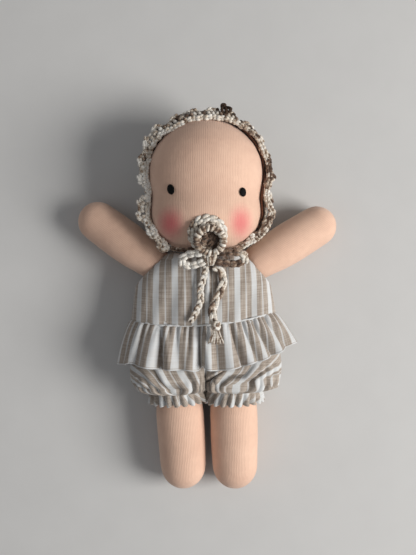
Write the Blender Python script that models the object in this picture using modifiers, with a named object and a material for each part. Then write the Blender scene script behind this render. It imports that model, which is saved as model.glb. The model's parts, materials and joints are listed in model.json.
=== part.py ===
"""A stuffed cloth baby doll lying on its back, in a crocheted bonnet and a striped romper.

Metres. X runs across the doll, Y from its feet to its crown, Z from its back to its face.
The working origin is where the neck seam meets the midline, at the level of the floor.
The last step moves the whole doll so that the middle of its underside is at the origin.
"""

import math

import bmesh
import bpy
from mathutils import Matrix, Vector

# Cloth, yarn and clearances
GAP = 0.0003
SKIN = 0.0010
CLOTH = 0.0009
CROCHET = 0.0030
FLOOR_CUT = 0.0005
OVERRUN = 0.0200

# Head
HEAD_WIDTH = 0.0750
HEAD_DEPTH = 0.0640
HEAD_HEIGHT = 0.0910
HEAD_SIDES = 20
NECK_LEVEL = 0.0290
NECK_THREAD = 0.0005
EYE_SPACING = 0.0446
EYE_HEIGHT = 0.0401
EYE_WIDTH = 0.0042
EYE_LENGTH = 0.0054
EYE_RISE = 0.0009
FACE_ASIDE = 0.0012

# Torso
TORSO_LENGTH = 0.0880
TORSO_WIDTH = 0.0770
TORSO_DEPTH = 0.0340
TORSO_LIFT = 0.0037
TORSO_LEVEL = TORSO_LIFT + TORSO_DEPTH / 2
TORSO_SIDES = 16
LAP_SIDES = 14

# Arms
SHOULDER_SPACING = 0.0710
SHOULDER_DROP = 0.0035
SHOULDER_SINK = 0.0002
SHOULDER_LEVEL = TORSO_LEVEL - SHOULDER_SINK
ARM_REACH = 0.0475
ARM_BALL = 0.0120
ARM_RADIUS = 0.0143
HAND_RADIUS = 0.0138
ARM_SEAM_RADIUS = 0.0040
ARM_SIDES = 12
ARM_ANGLE_LEFT = math.radians(36.0)
ARM_ANGLE_RIGHT = math.radians(31.5)
ARM_ANGLE_LOW = math.radians(-15.0)
ARM_ANGLE_HIGH = math.radians(45.0)
ARM_SWEEP_STEPS = 5
ARM_SWEEP_TURNS = 6

# Legs
HIP_SPACING = 0.0370
HIP_BELOW_SEAT = 0.0005
HIP_DROP = TORSO_LENGTH + HIP_BELOW_SEAT
HIP_SINK = 0.0017
HIP_LEVEL = TORSO_LEVEL - HIP_SINK
LEG_REACH = 0.0525
LEG_BALL = 0.0145
LEG_RADIUS = 0.0162
FOOT_RADIUS = 0.0155
LEG_SEAM_RADIUS = 0.0050
LEG_SIDES = 14
LEG_LEAN_LEFT = math.radians(3.5)
LEG_LEAN_RIGHT = math.radians(1.5)

# Bonnet and its edging
BONNET_EDGE_LEVEL = 0.0385
BONNET_HEM = 0.0060
EDGING_LEVEL = 0.0420
EDGING_WIDTH = 0.0076
EDGING_THICKNESS = 0.0056
EDGING_SCALLOPS = 22
EDGING_VALLEY_SHARE = 0.78
EDGING_THIN_SHARE = 0.84
EDGING_START = 0.0085
YARN_END_RADIUS = 0.0023
YARN_END_SHARE = 0.455

# Ties
TIE_DIAMETER = 0.0046
TIE_RUN_DIAMETER = 0.0028
BOW_KNOT = (0.0076, 0.0086, 0.0080)
BOW_PLACE = (0.0028, -0.0019, 0.0503)
TAIL_KNOT_RADIUS = 0.0036
TASSEL_LENGTH = 0.0110
TASSEL_WIDTH = 0.0070

# Dummy
DUMMY_RADIUS = 0.0113
DUMMY_RISE = 0.0050
DUMMY_FLAT_SHARE = 0.45
DUMMY_EDGE = 0.0022
DUMMY_BACK = 0.0040
DUMMY_HEIGHT = 0.0140
DUMMY_TILT = math.radians(20.0)
DUMMY_SINK = 0.0005
RING_RADIUS = 0.0083
RING_TUBE = 0.0022
RING_LOWER = 0.0030
MAGNET_RADIUS = 0.0040
MAGNET_THICKNESS = 0.0015
MAGNET_LIFT = 0.0018

# Romper
BELOW_WAIST = 0.0460
BODICE_LENGTH = TORSO_LENGTH - BELOW_WAIST
BODICE_WIDTH = 0.0940
BODICE_EASE = 0.0037
BODICE_DEPTH = TORSO_DEPTH + 2 * BODICE_EASE
BODICE_SIDES = 28
PEPLUM_LENGTH = 0.0315
PEPLUM_WIDTH = 0.1170
PEPLUM_RISE = 0.0046
PEPLUM_DEPTH = BODICE_DEPTH + PEPLUM_RISE
PEPLUM_SIDES = 55
PEPLUM_FOLDS = 11
PEPLUM_FOLD_DEPTH = 0.0026
PEPLUM_LIFT = 0.0140
PRESSED_SHARE = 0.5
SEAT_ROOM = 0.0040
BLOOMER_LENGTH = BELOW_WAIST + SEAT_ROOM
BLOOMER_WIDTH = 0.0980
BLOOMER_EASE = 0.0025
BLOOMER_LEVEL = TORSO_LIFT - BLOOMER_EASE
BLOOMER_DEPTH = TORSO_DEPTH + 2 * BLOOMER_EASE
BLOOMER_SIDES = 36
BLOOMER_FOLDS = 12
BLOOMER_FOLD_DEPTH = 0.0009
CUFF_RADIUS = 0.0171
CUFF_STATION = 0.0070
CUFF_FRILL = 0.0055
CUFF_SIDES = 18
MAGNET_SIDES = 12
ELASTIC = 0.0005
SQUARENESS = 2.5

# Head sections: height above the neck seam, width, depth, and how far the middle has
# risen from the neck's level to the head's, each as a share of the whole
HEAD_SHARES = (
    (0.004, 0.30, 0.33, 0.00),
    (0.020, 0.34, 0.37, 0.06),
    (0.042, 0.46, 0.47, 0.18),
    (0.080, 0.63, 0.62, 0.40),
    (0.135, 0.80, 0.77, 0.68),
    (0.205, 0.915, 0.90, 0.90),
    (0.285, 0.965, 0.965, 1.00),
    (0.345, 0.962, 0.965, 1.00),
    (0.405, 0.942, 0.945, 1.00),
    (0.455, 0.955, 0.955, 1.00),
    (0.530, 0.992, 0.990, 1.00),
    (0.610, 1.000, 1.000, 1.00),
    (0.700, 0.965, 0.965, 1.00),
    (0.790, 0.865, 0.865, 1.00),
    (0.870, 0.700, 0.700, 1.00),
    (0.935, 0.500, 0.500, 1.00),
    (0.980, 0.260, 0.260, 1.00),
)
# Torso sections: distance below the neck, width and depth
TORSO_SHARES = (
    (0.004, 0.290, 0.40),
    (0.020, 0.500, 0.52),
    (0.050, 0.670, 0.66),
    (0.100, 0.735, 0.78),
    (0.190, 0.785, 0.90),
    (0.320, 0.885, 0.97),
    (0.480, 0.975, 1.00),
    (0.650, 1.000, 0.98),
    (0.800, 0.960, 0.94),
    (0.910, 0.800, 0.80),
    (0.975, 0.480, 0.50),
)
NECK_RISE_SHARE = 0.12
# Arm between ball and hand: distance along the reach and radius
ARM_SHARES = ((0.78, 0.985), (0.52, 1.000), (0.30, 0.960), (0.12, 0.875))
LEG_SHARES = ((0.80, 0.985), (0.55, 1.000), (0.33, 1.000), (0.20, 0.965), (0.12, 0.920))
FOOT_POINT_SHARE = 1.08
# Bodice sections: distance below the neck, width and depth
BODICE_SHARES = (
    (0.010, 0.420, 0.86),
    (0.060, 0.560, 0.92),
    (0.160, 0.730, 0.96),
    (0.300, 0.840, 0.98),
    (0.450, 0.905, 1.00),
    (0.700, 0.960, 1.00),
    (1.000, 1.000, 1.00),
)
# Peplum sections: distance below the waist seam, spread of width and depth, folding
PEPLUM_SHARES = (
    (0.00, 0.00, 0.12),
    (0.16, 0.30, 0.45),
    (0.42, 0.58, 0.75),
    (0.72, 0.82, 0.92),
    (1.00, 1.00, 1.00),
)
# Bloomer sections: distance below the waist seam, width, depth and folding
BLOOMER_SHARES = (
    (0.000, 0.935, 0.950, 0.3),
    (0.120, 0.945, 0.955, 0.8),
    (0.400, 0.975, 0.980, 1.0),
    (0.640, 1.000, 1.000, 1.0),
    (0.820, 0.960, 0.980, 1.0),
    (0.930, 0.860, 0.900, 0.7),
    (0.985, 0.640, 0.700, 0.3),
)
# Bloomer leg: distance along the leg from the hip, and growth over the cuff
BLOOMER_LEG_SHARES = ((-0.3, 1.05), (0.45, 1.14), (0.80, 1.15), (1.00, 1.01))

# Routes of the ties, chosen by hand
LEFT_RUN = (
    (-0.0229, 0.0051, 0.0424),
    (-0.0190, 0.0040, 0.0440),
    (-0.0135, 0.0036, 0.0462),
    (-0.0080, 0.0039, 0.0472),
    (-0.0035, 0.0036, 0.0478),
    (0.0002, 0.0032, 0.0484),
)
RIGHT_RUN = (
    (0.0229, 0.0051, 0.0424),
    (0.0196, 0.0041, 0.0438),
    (0.0154, 0.0037, 0.0454),
    (0.0110, 0.0036, 0.0470),
    (0.0076, 0.0035, 0.0480),
    (0.0052, 0.0033, 0.0486),
)
LEFT_LOOP = (
    (-0.0013, 0.0010, 0.0514),
    (-0.0050, 0.0015, 0.0512),
    (-0.0095, 0.0011, 0.0504),
    (-0.0138, -0.0006, 0.0492),
    (-0.0159, -0.0034, 0.0484),
    (-0.0140, -0.0062, 0.0480),
    (-0.0095, -0.0066, 0.0484),
    (-0.0050, -0.0054, 0.0496),
    (-0.0013, -0.0040, 0.0506),
)
RIGHT_LOOP = (
    (0.0069, 0.0010, 0.0514),
    (0.0110, 0.0016, 0.0512),
    (0.0165, 0.0020, 0.0506),
    (0.0220, 0.0015, 0.0496),
    (0.0258, -0.0006, 0.0486),
    (0.0252, -0.0036, 0.0480),
    (0.0208, -0.0052, 0.0480),
    (0.0150, -0.0054, 0.0486),
    (0.0105, -0.0049, 0.0498),
    (0.0069, -0.0040, 0.0506),
)
LEFT_TAIL = (
    (0.0005, -0.0069, 0.0468),
    (-0.0004, -0.0106, 0.0452),
    (-0.0017, -0.0156, 0.0443),
    (-0.0034, -0.0215, 0.0440),
    (-0.0032, -0.0285, 0.0440),
    (-0.0052, -0.0338, 0.0440),
    (-0.0076, -0.0390, 0.0442),
    (-0.0098, -0.0425, 0.0448),
)
RIGHT_TAIL = (
    (0.0055, -0.0069, 0.0468),
    (0.0092, -0.0096, 0.0454),
    (0.0112, -0.0140, 0.0444),
    (0.0104, -0.0200, 0.0440),
    (0.0078, -0.0262, 0.0440),
    (0.0052, -0.0322, 0.0440),
    (0.0042, -0.0380, 0.0448),
    (0.0056, -0.0425, 0.0478),
)
TAIL_KNOT_PLACE = (0.0068, -0.0457, 0.0497)
TIE_POINTS = 15

# Colours and finish of each material: red, green, blue, roughness
FINISHES = {
    "skin": ((0.78, 0.52, 0.40), 0.85),
    "wool": ((0.86, 0.82, 0.72), 0.95),
    "yarn": ((0.55, 0.46, 0.38), 0.90),
    "linen": ((0.50, 0.43, 0.36), 0.88),
    "thread": ((0.30, 0.22, 0.17), 0.80),
    "black": ((0.01, 0.01, 0.012), 0.60),
    "elastic": ((0.75, 0.74, 0.70), 0.70),
    "magnet": ((0.55, 0.56, 0.58), 0.30),
}
METAL = "magnet"


def clear_scene():
    """Remove what the file opens with."""
    for thing in list(bpy.data.objects):
        bpy.data.objects.remove(thing, do_unlink=True)


def new_collection(name):
    """Add a collection to the scene."""
    made = bpy.data.collections.new(name)
    bpy.context.scene.collection.children.link(made)
    return made


clear_scene()
PARTS = new_collection("cloth_doll")
CUTTERS = new_collection("cutters")


def finish(name):
    """One Principled material for each finish, made once."""
    made = bpy.data.materials.get(name)
    if made:
        return made
    colour, roughness = FINISHES[name]
    made = bpy.data.materials.new(name)
    made.use_nodes = True
    shader = made.node_tree.nodes["Principled BSDF"]
    shader.inputs["Base Color"].default_value = (*colour, 1.0)
    shader.inputs["Roughness"].default_value = roughness
    shader.inputs["Metallic"].default_value = float(name == METAL)
    made.diffuse_color = (*colour, 1.0)
    return made


def empty(name, place, parent=None):
    """An axis or frame that pieces hang from."""
    made = bpy.data.objects.new(name, None)
    PARTS.objects.link(made)
    made.location = place
    made.parent = parent
    return made


def piece(name, mesh, material, parent, place=(0, 0, 0)):
    """A sub-part in the doll's collection."""
    made = bpy.data.objects.new(name, mesh)
    PARTS.objects.link(made)
    made.location = place
    made.parent = parent
    mesh.shade_smooth()
    mesh.materials.append(finish(material))
    return made


def cutter(name, mesh, parent, place=(0, 0, 0)):
    """A shape that is only cut away from others."""
    made = bpy.data.objects.new(name, mesh)
    CUTTERS.objects.link(made)
    made.location = place
    made.parent = parent
    made.hide_render = True
    made.display_type = "WIRE"
    return made


def cut(target, *tools, operation="DIFFERENCE"):
    """Cut each tool away from the target, or join it."""
    for tool in tools:
        step = target.modifiers.new(tool.name, "BOOLEAN")
        step.operation = operation
        step.object = tool


def loft(name, rings, closed=True):
    """A skin over rings of points, each end closed by a point in its middle."""
    shape = bmesh.new()
    rows = [[shape.verts.new(p) for p in ring] for ring in rings]
    count = len(rows[0])
    for low, high in zip(rows, rows[1:]):
        for n in range(count):
            m = (n + 1) % count
            shape.faces.new((low[n], low[m], high[m], high[n]))
    if closed:
        for row, points in ((rows[0], rings[0]), (rows[-1], rings[-1])):
            middle = sum((Vector(p) for p in points), Vector()) / count
            pole = shape.verts.new(middle)
            for n in range(count):
                m = (n + 1) % count
                order = (row[m], row[n], pole) if row is rows[0] else (row[n], row[m], pole)
                shape.faces.new(order)
    bmesh.ops.recalc_face_normals(shape, faces=shape.faces)
    mesh = bpy.data.meshes.new(name)
    shape.to_mesh(mesh)
    shape.free()
    return mesh


def section(along, half_width, half_depth, level, sides, square=2.0, bulge=None, floor=None):
    """A ring of points across Y: an ellipse, squarer when asked, with folds and a flat back."""
    points = []
    for n in range(sides):
        turn = math.tau * n / sides
        c, s = math.cos(turn), math.sin(turn)
        x = half_width * math.copysign(abs(c) ** (2 / square), c)
        z = level + half_depth * math.copysign(abs(s) ** (2 / square), s)
        if bulge:
            x += bulge(turn) * c
            z += bulge(turn) * s
        if floor is not None:
            z = max(z, floor)
        y = along(turn) if callable(along) else along
        points.append((x, y, z))
    return points


def head_rings(grow, lowest=0.0):
    """The head's sections, all moved outwards by one distance, from a height upwards."""
    rings = []
    middle = HEAD_DEPTH / 2 + CROCHET + GAP - FLOOR_CUT
    for height, width, depth, rise in HEAD_SHARES:
        y = height * (HEAD_HEIGHT + grow)
        if y < lowest:
            continue
        level = NECK_LEVEL + (middle - NECK_LEVEL) * rise
        half_width = width * HEAD_WIDTH / 2 + grow
        half_depth = depth * HEAD_DEPTH / 2 + grow
        rings.append(section(y, half_width, half_depth, level, HEAD_SIDES))
    rings.append(section(HEAD_HEIGHT + grow, GAP, GAP, middle, HEAD_SIDES))
    return rings


def head_outline(height):
    """Half the width, half the depth and the level of the head at a height above the neck."""
    middle = HEAD_DEPTH / 2 + CROCHET + GAP - FLOOR_CUT
    share = height / HEAD_HEIGHT
    rows = HEAD_SHARES + ((1.0, 0.0, 0.0, 1.0),)
    for low, high in zip(rows, rows[1:]):
        if low[0] <= share <= high[0]:
            part = (share - low[0]) / (high[0] - low[0])
            width, depth, rise = (a + (b - a) * part for a, b in zip(low[1:], high[1:]))
            level = NECK_LEVEL + (middle - NECK_LEVEL) * rise
            return width * HEAD_WIDTH / 2, depth * HEAD_DEPTH / 2, level
    return 0.0, 0.0, middle


def face_level(x, height):
    """How high the face stands above the floor at a place on its front."""
    half_width, half_depth, level = head_outline(height)
    return level + half_depth * math.sqrt(max(0.0, 1 - (x / half_width) ** 2))


def face_normal(x, height):
    """The direction straight out of the face at a place on its front."""
    step = EYE_RISE
    across = (face_level(x + step, height) - face_level(x - step, height)) / (2 * step)
    along = (face_level(x, height + step) - face_level(x, height - step)) / (2 * step)
    return Vector((-across, -along, 1.0)).normalized()


def shell(name, outer, inner):
    """A skin with a wall, open where its first ring is."""
    return loft(name, list(reversed(outer)) + inner)


def turned(name, profile, sides, material, parent, place=(0, 0, 0), as_cutter=False, loop=False):
    """A profile of radius and height turned about Z, given from its top down."""
    mesh = bpy.data.meshes.new(name)
    points = [(radius, 0.0, height) for radius, height in profile]
    edges = [(n, n + 1) for n in range(len(points) - 1)]
    if loop:
        edges.append((len(points) - 1, 0))
    mesh.from_pydata(points, edges, [])
    if as_cutter:
        made = cutter(name, mesh, parent, place)
    else:
        made = piece(name, mesh, material, parent, place)
    screw = made.modifiers.new("turn", "SCREW")
    screw.steps = sides
    screw.render_steps = sides
    screw.use_merge_vertices = True
    screw.merge_threshold = FLOOR_CUT / 10
    screw.use_smooth_shade = True
    return made


def ball(name, radius, parent, place, sides=14):
    """A round cutter whose flats lie no nearer its middle than the radius."""
    shape = bmesh.new()
    around = radius / math.cos(math.pi / sides) ** 2
    bmesh.ops.create_uvsphere(shape, u_segments=sides, v_segments=sides // 2, radius=around)
    mesh = bpy.data.meshes.new(name)
    shape.to_mesh(mesh)
    shape.free()
    return cutter(name, mesh, parent, place)


def pillow(name, size, sides=14):
    """A mesh of a rounded lump of three sizes."""
    shape = bmesh.new()
    bmesh.ops.create_uvsphere(shape, u_segments=sides, v_segments=sides // 2, radius=0.5)
    bmesh.ops.scale(shape, vec=size, verts=shape.verts)
    mesh = bpy.data.meshes.new(name)
    shape.to_mesh(mesh)
    shape.free()
    return mesh


def block(name, size, parent, place):
    """A box-shaped cutter."""
    shape = bmesh.new()
    bmesh.ops.create_cube(shape, size=1)
    bmesh.ops.scale(shape, vec=size, verts=shape.verts)
    mesh = bpy.data.meshes.new(name)
    shape.to_mesh(mesh)
    shape.free()
    return cutter(name, mesh, parent, place)


def limb_profile(reach, ball_radius, radius, tip_radius, seam, shares, inset=0.0, point=1.0):
    """Half the outline of a stuffed limb, from the tip to the sewn end at its ball."""
    tip, root = tip_radius - inset, ball_radius - inset
    lines = []
    for n in range(5):
        turn = math.radians(90 * n / 4)
        lines.append((tip * math.sin(turn), reach + tip * math.cos(turn) * point))
    lines += [(radius * wide - inset, reach * along) for along, wide in shares]
    last = math.asin(min(1.0, seam / root))
    for n in range(4):
        turn = math.pi / 2 + (math.pi / 2 - last) * n / 3
        lines.append((root * math.sin(turn), root * math.cos(turn)))
    return lines


def limb(side, kind, hub, sizes, sides):
    """The skin of an arm or a leg, and the wool inside it."""
    outer = limb_profile(*sizes[:6], point=sizes[6])
    inner = limb_profile(*sizes[:6], inset=SKIN, point=sizes[6])
    wool = limb_profile(*sizes[:6], inset=SKIN + GAP, point=sizes[6])
    skin = turned(f"{kind}_skin_{side}", outer + list(reversed(inner)), sides, "skin", hub)
    closed = wool + [(0.0, wool[-1][1])]
    turned(f"{kind}_wool_{side}", closed, sides, "wool", hub)
    return skin


def arm_sizes():
    """What sets the outline of an arm."""
    return (ARM_REACH, ARM_BALL, ARM_RADIUS, HAND_RADIUS, ARM_SEAM_RADIUS, ARM_SHARES, 1.0)


def leg_sizes():
    """What sets the outline of a leg."""
    return (
        LEG_REACH,
        LEG_BALL,
        LEG_RADIUS,
        FOOT_RADIUS,
        LEG_SEAM_RADIUS,
        LEG_SHARES,
        FOOT_POINT_SHARE,
    )


def limb_turn(heading, drop):
    """The turn that points a limb's own Z along a heading on the floor, dropping a little."""
    level = math.cos(drop)
    forward = Vector((math.cos(heading) * level, math.sin(heading) * level, -math.sin(drop)))
    return forward.to_track_quat("Z", "Y").to_euler()


def arm_heading(side, angle):
    """Direction of an arm that rises by an angle above the line of the shoulders."""
    return angle if side == "right" else math.pi - angle


def arm_drop():
    """How steeply an arm goes down until its hand lies on the floor."""
    return math.asin((SHOULDER_LEVEL - HAND_RADIUS + FLOOR_CUT) / ARM_REACH)


def leg_drop():
    """How steeply a leg goes down until its foot lies on the floor."""
    return math.asin((HIP_LEVEL - FOOT_RADIUS + FLOOR_CUT) / LEG_REACH)


def side_sign(side):
    """The right side of the picture is at +X."""
    return 1 if side == "right" else -1


def arms(doll, floor):
    """Both arms, each on an empty on the axis that it swings about."""
    for side, angle in (("left", ARM_ANGLE_LEFT), ("right", ARM_ANGLE_RIGHT)):
        place = (side_sign(side) * SHOULDER_SPACING / 2, -SHOULDER_DROP, SHOULDER_LEVEL)
        hub = empty(f"shoulder_{side}", place, doll)
        hub.rotation_euler = limb_turn(arm_heading(side, angle), arm_drop())
        cut(limb(side, "arm", hub, arm_sizes(), ARM_SIDES), floor)


def legs(doll, floor):
    """Both legs, each on an empty on the axis that it folds about."""
    for side, lean in (("left", LEG_LEAN_LEFT), ("right", LEG_LEAN_RIGHT)):
        place = (side_sign(side) * HIP_SPACING / 2, -HIP_DROP, HIP_LEVEL)
        hub = empty(f"hip_{side}", place, doll)
        hub.rotation_euler = limb_turn(lean - math.pi / 2, leg_drop())
        cut(limb(side, "leg", hub, leg_sizes(), LEG_SIDES), floor)
        ring = LEG_RADIUS * LEG_SHARES[-1][1] + 2 * GAP + ELASTIC
        elastic = torus(f"leg_elastic_{side}", ring, ELASTIC, LEG_SIDES, "elastic", hub)
        elastic.location = (0, 0, CUFF_STATION)


def torus(name, radius, tube, sides, material, parent, steps=6):
    """A ring of round section about Z, turned from a closed profile."""
    profile = []
    for n in range(steps):
        turn = math.tau * n / steps
        profile.append((radius + tube * math.sin(turn), tube * math.cos(turn)))
    return turned(name, profile, sides, material, parent, loop=True)


def torso_rings(grow):
    """The torso's sections from the neck to the seat."""
    rings = []
    for along, width, depth in TORSO_SHARES:
        y = -along * (TORSO_LENGTH + grow)
        rise = (NECK_LEVEL - TORSO_LEVEL) * max(0.0, 1 - along / NECK_RISE_SHARE)
        half_width = width * TORSO_WIDTH / 2 + grow
        half_depth = depth * TORSO_DEPTH / 2 + grow
        rings.append(section(y, half_width, half_depth, TORSO_LEVEL + rise, TORSO_SIDES))
    rings.append(section(-TORSO_LENGTH - grow, GAP, GAP, TORSO_LEVEL, TORSO_SIDES))
    return rings


def sockets(doll, grow, name):
    """Cutters for the round ends of the limbs, and for the laps that lifted legs fold into."""
    made = []
    for side in ("left", "right"):
        x = side_sign(side)
        shoulder = (x * SHOULDER_SPACING / 2, -SHOULDER_DROP, SHOULDER_LEVEL)
        hip = (x * HIP_SPACING / 2, -HIP_DROP, HIP_LEVEL)
        made.append(ball(f"{name}_shoulder_{side}", ARM_BALL + GAP + grow, doll, shoulder))
        made.append(ball(f"{name}_hip_{side}", LEG_BALL + GAP + grow, doll, hip))
        lap = (LEG_RADIUS + GAP + grow) / math.cos(math.pi / LAP_SIDES)
        top = HIP_LEVEL + TORSO_DEPTH
        bottom = HIP_LEVEL - grow
        profile = [(0.0, top), (lap, top), (lap, bottom), (0.0, bottom)]
        place = (hip[0], hip[1], 0.0)
        made.append(turned(f"{name}_lap_{side}", profile, LAP_SIDES, None, doll, place, True))
    return made


def torso(doll):
    """The torso's skin with its neck open, dented where the limbs sit, and its wool."""
    outer = torso_rings(0.0)
    inner = torso_rings(-SKIN)
    skin = piece("torso_skin", loft("torso_skin", outer), "skin", doll)
    cut(skin, *sockets(doll, 0.0, "dent"))
    neck = section(OVERRUN, *neck_hole(-SKIN), NECK_LEVEL, TORSO_SIDES)
    hollow = cutter("torso_hollow", loft("torso_hollow", [neck] + inner[1:]), doll)
    cut(hollow, *sockets(doll, SKIN, "hollow_dent"))
    cut(skin, hollow)
    wool = piece("torso_wool", loft("torso_wool", torso_rings(-SKIN - GAP)), "wool", doll)
    cut(wool, *sockets(doll, SKIN + GAP, "wool_dent"))


def neck_hole(grow):
    """Half the width and half the depth of the open neck."""
    width, depth = TORSO_SHARES[0][1:]
    return width * TORSO_WIDTH / 2 + grow, depth * TORSO_DEPTH / 2 + grow


def head(neck):
    """The head's skin with its neck open, its wool, the magnet and the thread at the neck."""
    outer, inner = head_rings(0.0), head_rings(-SKIN)
    piece("head_skin", shell("head_skin", outer, inner), "skin", neck)
    wool = piece("head_wool", loft("head_wool", head_rings(-SKIN - GAP)), "wool", neck)
    magnet_place = dummy_seat(-SKIN - GAP - MAGNET_THICKNESS - GAP)
    pocket = magnet_place - dummy_axis() * MAGNET_THICKNESS
    hole = disc_profile(MAGNET_RADIUS + GAP, MAGNET_THICKNESS + OVERRUN)
    pocket_cutter = turned("magnet_pocket", hole, MAGNET_SIDES, None, neck, pocket, True)
    pocket_cutter.rotation_euler = dummy_turn()
    cut(wool, pocket_cutter)
    disc = disc_profile(MAGNET_RADIUS, MAGNET_THICKNESS)
    magnet = turned("mouth_magnet", disc, MAGNET_SIDES, "magnet", neck, pocket + dummy_axis() * GAP)
    magnet.rotation_euler = dummy_turn()
    neck_thread(neck)


def neck_thread(neck):
    """The thread that binds the neck, wound round it at its narrowest."""
    height = HEAD_SHARES[1][0] * HEAD_HEIGHT - NECK_THREAD
    half_width, half_depth, level = head_outline(height + NECK_THREAD)
    reach = GAP + 2 * NECK_THREAD
    rings = []
    for n in range(HEAD_SIDES):
        turn = math.tau * n / HEAD_SIDES
        c, s = math.cos(turn), math.sin(turn)
        middle = Vector(((half_width + reach) * c, height, level + (half_depth + reach) * s))
        rings.append(
            [
                middle + NECK_THREAD * Vector((c * math.cos(a), math.sin(a), s * math.cos(a)))
                for a in (math.tau * m / 6 for m in range(6))
            ]
        )
    piece("neck_thread", loop_loft("neck_thread", rings), "thread", neck)


def loop_loft(name, rings):
    """A skin over rings that follow each other round in a loop."""
    shape = bmesh.new()
    rows = [[shape.verts.new(p) for p in ring] for ring in rings]
    count = len(rows[0])
    for n, low in enumerate(rows):
        high = rows[(n + 1) % len(rows)]
        for k in range(count):
            m = (k + 1) % count
            shape.faces.new((low[k], low[m], high[m], high[k]))
    bmesh.ops.recalc_face_normals(shape, faces=shape.faces)
    mesh = bpy.data.meshes.new(name)
    shape.to_mesh(mesh)
    shape.free()
    return mesh


def eyes(neck):
    """Two pads of black stitches on the face."""
    for side in ("left", "right"):
        x = side_sign(side) * EYE_SPACING / 2
        normal = face_normal(x, EYE_HEIGHT)
        foot = Vector((x, EYE_HEIGHT, face_level(x, EYE_HEIGHT)))
        mesh = pillow(f"eye_{side}", (EYE_WIDTH, EYE_LENGTH, EYE_RISE), 12)
        lift = normal * (EYE_RISE / 2 + GAP)
        made = piece(f"eye_{side}", mesh, "black", neck, foot + lift)
        made.rotation_euler = normal.to_track_quat("Z", "Y").to_euler()


def bonnet(neck, floor):
    """The crocheted cap round the back of the head, open in front and at the nape."""
    outer, inner = head_rings(GAP + CROCHET, BONNET_HEM), head_rings(GAP, BONNET_HEM)
    cap = piece("bonnet", shell("bonnet", outer, inner), "yarn", neck)
    size = (HEAD_WIDTH * 2, HEAD_HEIGHT * 3, HEAD_DEPTH)
    front = block("bonnet_front", size, neck, (0, HEAD_HEIGHT / 2, BONNET_EDGE_LEVEL + HEAD_DEPTH / 2))
    cut(cap, front, floor)


def edging_route():
    """Points round the face, level with the bonnet's edge, from cheek over crown to cheek."""
    heights, side = [], []
    steps = EDGING_SCALLOPS * 2
    reach = HEAD_HEIGHT - EDGING_START
    for n in range(steps + 1):
        heights.append(EDGING_START + reach * math.sin(math.pi / 2 * n / steps))
    for height in heights:
        half_width, half_depth, level = head_outline(min(height, HEAD_HEIGHT * (1 - GAP)))
        rise = (EDGING_LEVEL - level) / max(half_depth, GAP)
        if abs(rise) < 1:
            side.append(Vector((half_width * math.sqrt(1 - rise * rise), height, EDGING_LEVEL)))
    top = [Vector((-p.x, p.y, p.z)) for p in reversed(side)]
    return even_route(side + top, EDGING_SCALLOPS * 4 + 1)


def even_route(points, count):
    """The same route with its points an equal distance apart."""
    lengths = [0.0]
    for a, b in zip(points, points[1:]):
        lengths.append(lengths[-1] + (b - a).length)
    made, at = [], 0
    for n in range(count):
        want = lengths[-1] * n / (count - 1)
        while at < len(points) - 2 and lengths[at + 1] < want:
            at += 1
        span = lengths[at + 1] - lengths[at]
        share = (want - lengths[at]) / span if span else 0.0
        made.append(points[at].lerp(points[at + 1], share))
    return made


def edging(neck):
    """The scalloped last row of the bonnet, fuller at each shell of stitches."""
    route = edging_route()
    middle = Vector((0, HEAD_HEIGHT / 2, EDGING_LEVEL))
    rings = []
    for n, point in enumerate(route):
        before, after = route[max(0, n - 1)], route[min(len(route) - 1, n + 1)]
        along = (after - before).normalized()
        out = Vector((along.y, -along.x, 0))
        if out.dot(point - middle) < 0:
            out = -out
        full = 0.5 - 0.5 * math.cos(math.tau * n / 4)
        width = EDGING_WIDTH / 2 * (EDGING_VALLEY_SHARE + (1 - EDGING_VALLEY_SHARE) * full)
        thick = EDGING_THICKNESS / 2 * (EDGING_THIN_SHARE + (1 - EDGING_THIN_SHARE) * full)
        centre = point + out * (GAP * 2 + width)
        rings.append(
            [
                centre + out * width * math.cos(a) + Vector((0, 0, thick * math.sin(a)))
                for a in (math.tau * m / 6 for m in range(6))
            ]
        )
    piece("bonnet_edging", loft("bonnet_edging", rings), "yarn", neck)
    spot = route[int(len(route) * YARN_END_SHARE)]
    out = (spot - middle).normalized()
    place = spot + out * (3 * GAP + EDGING_WIDTH * EDGING_VALLEY_SHARE + YARN_END_RADIUS)
    size = (2 * YARN_END_RADIUS,) * 3
    piece("yarn_end", pillow("yarn_end", size, 10), "thread", neck, place)


def smooth_route(points, count):
    """A smooth curve through the route's own points, read off evenly."""
    ends = [points[0] * 2 - points[1]] + points + [points[-1] * 2 - points[-2]]
    fine = []
    for n in range(1, len(ends) - 2):
        a, b, c, d = ends[n - 1 : n + 3]
        bend, twist = 2 * a - 5 * b + 4 * c - d, 3 * b - a - 3 * c + d
        for k in range(8):
            t = k / 8
            fine.append((2 * b + (c - a) * t + bend * t**2 + twist * t**3) / 2)
    fine.append(points[-1])
    return even_route(fine, count)


def cord(name, route, diameter, parent, count=TIE_POINTS):
    """A tube along a route, as a curve with round section and filled ends."""
    curve = bpy.data.curves.new(name, "CURVE")
    curve.dimensions = "3D"
    curve.bevel_depth = diameter / 2
    curve.bevel_resolution = 2
    curve.use_fill_caps = True
    line = curve.splines.new("POLY")
    points = smooth_route([Vector(p) for p in route], count)
    line.points.add(len(points) - 1)
    for spot, point in zip(line.points, points):
        spot.co = (*point, 1.0)
    made = bpy.data.objects.new(name, curve)
    PARTS.objects.link(made)
    made.parent = parent
    curve.materials.append(finish("yarn"))
    return made


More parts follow.
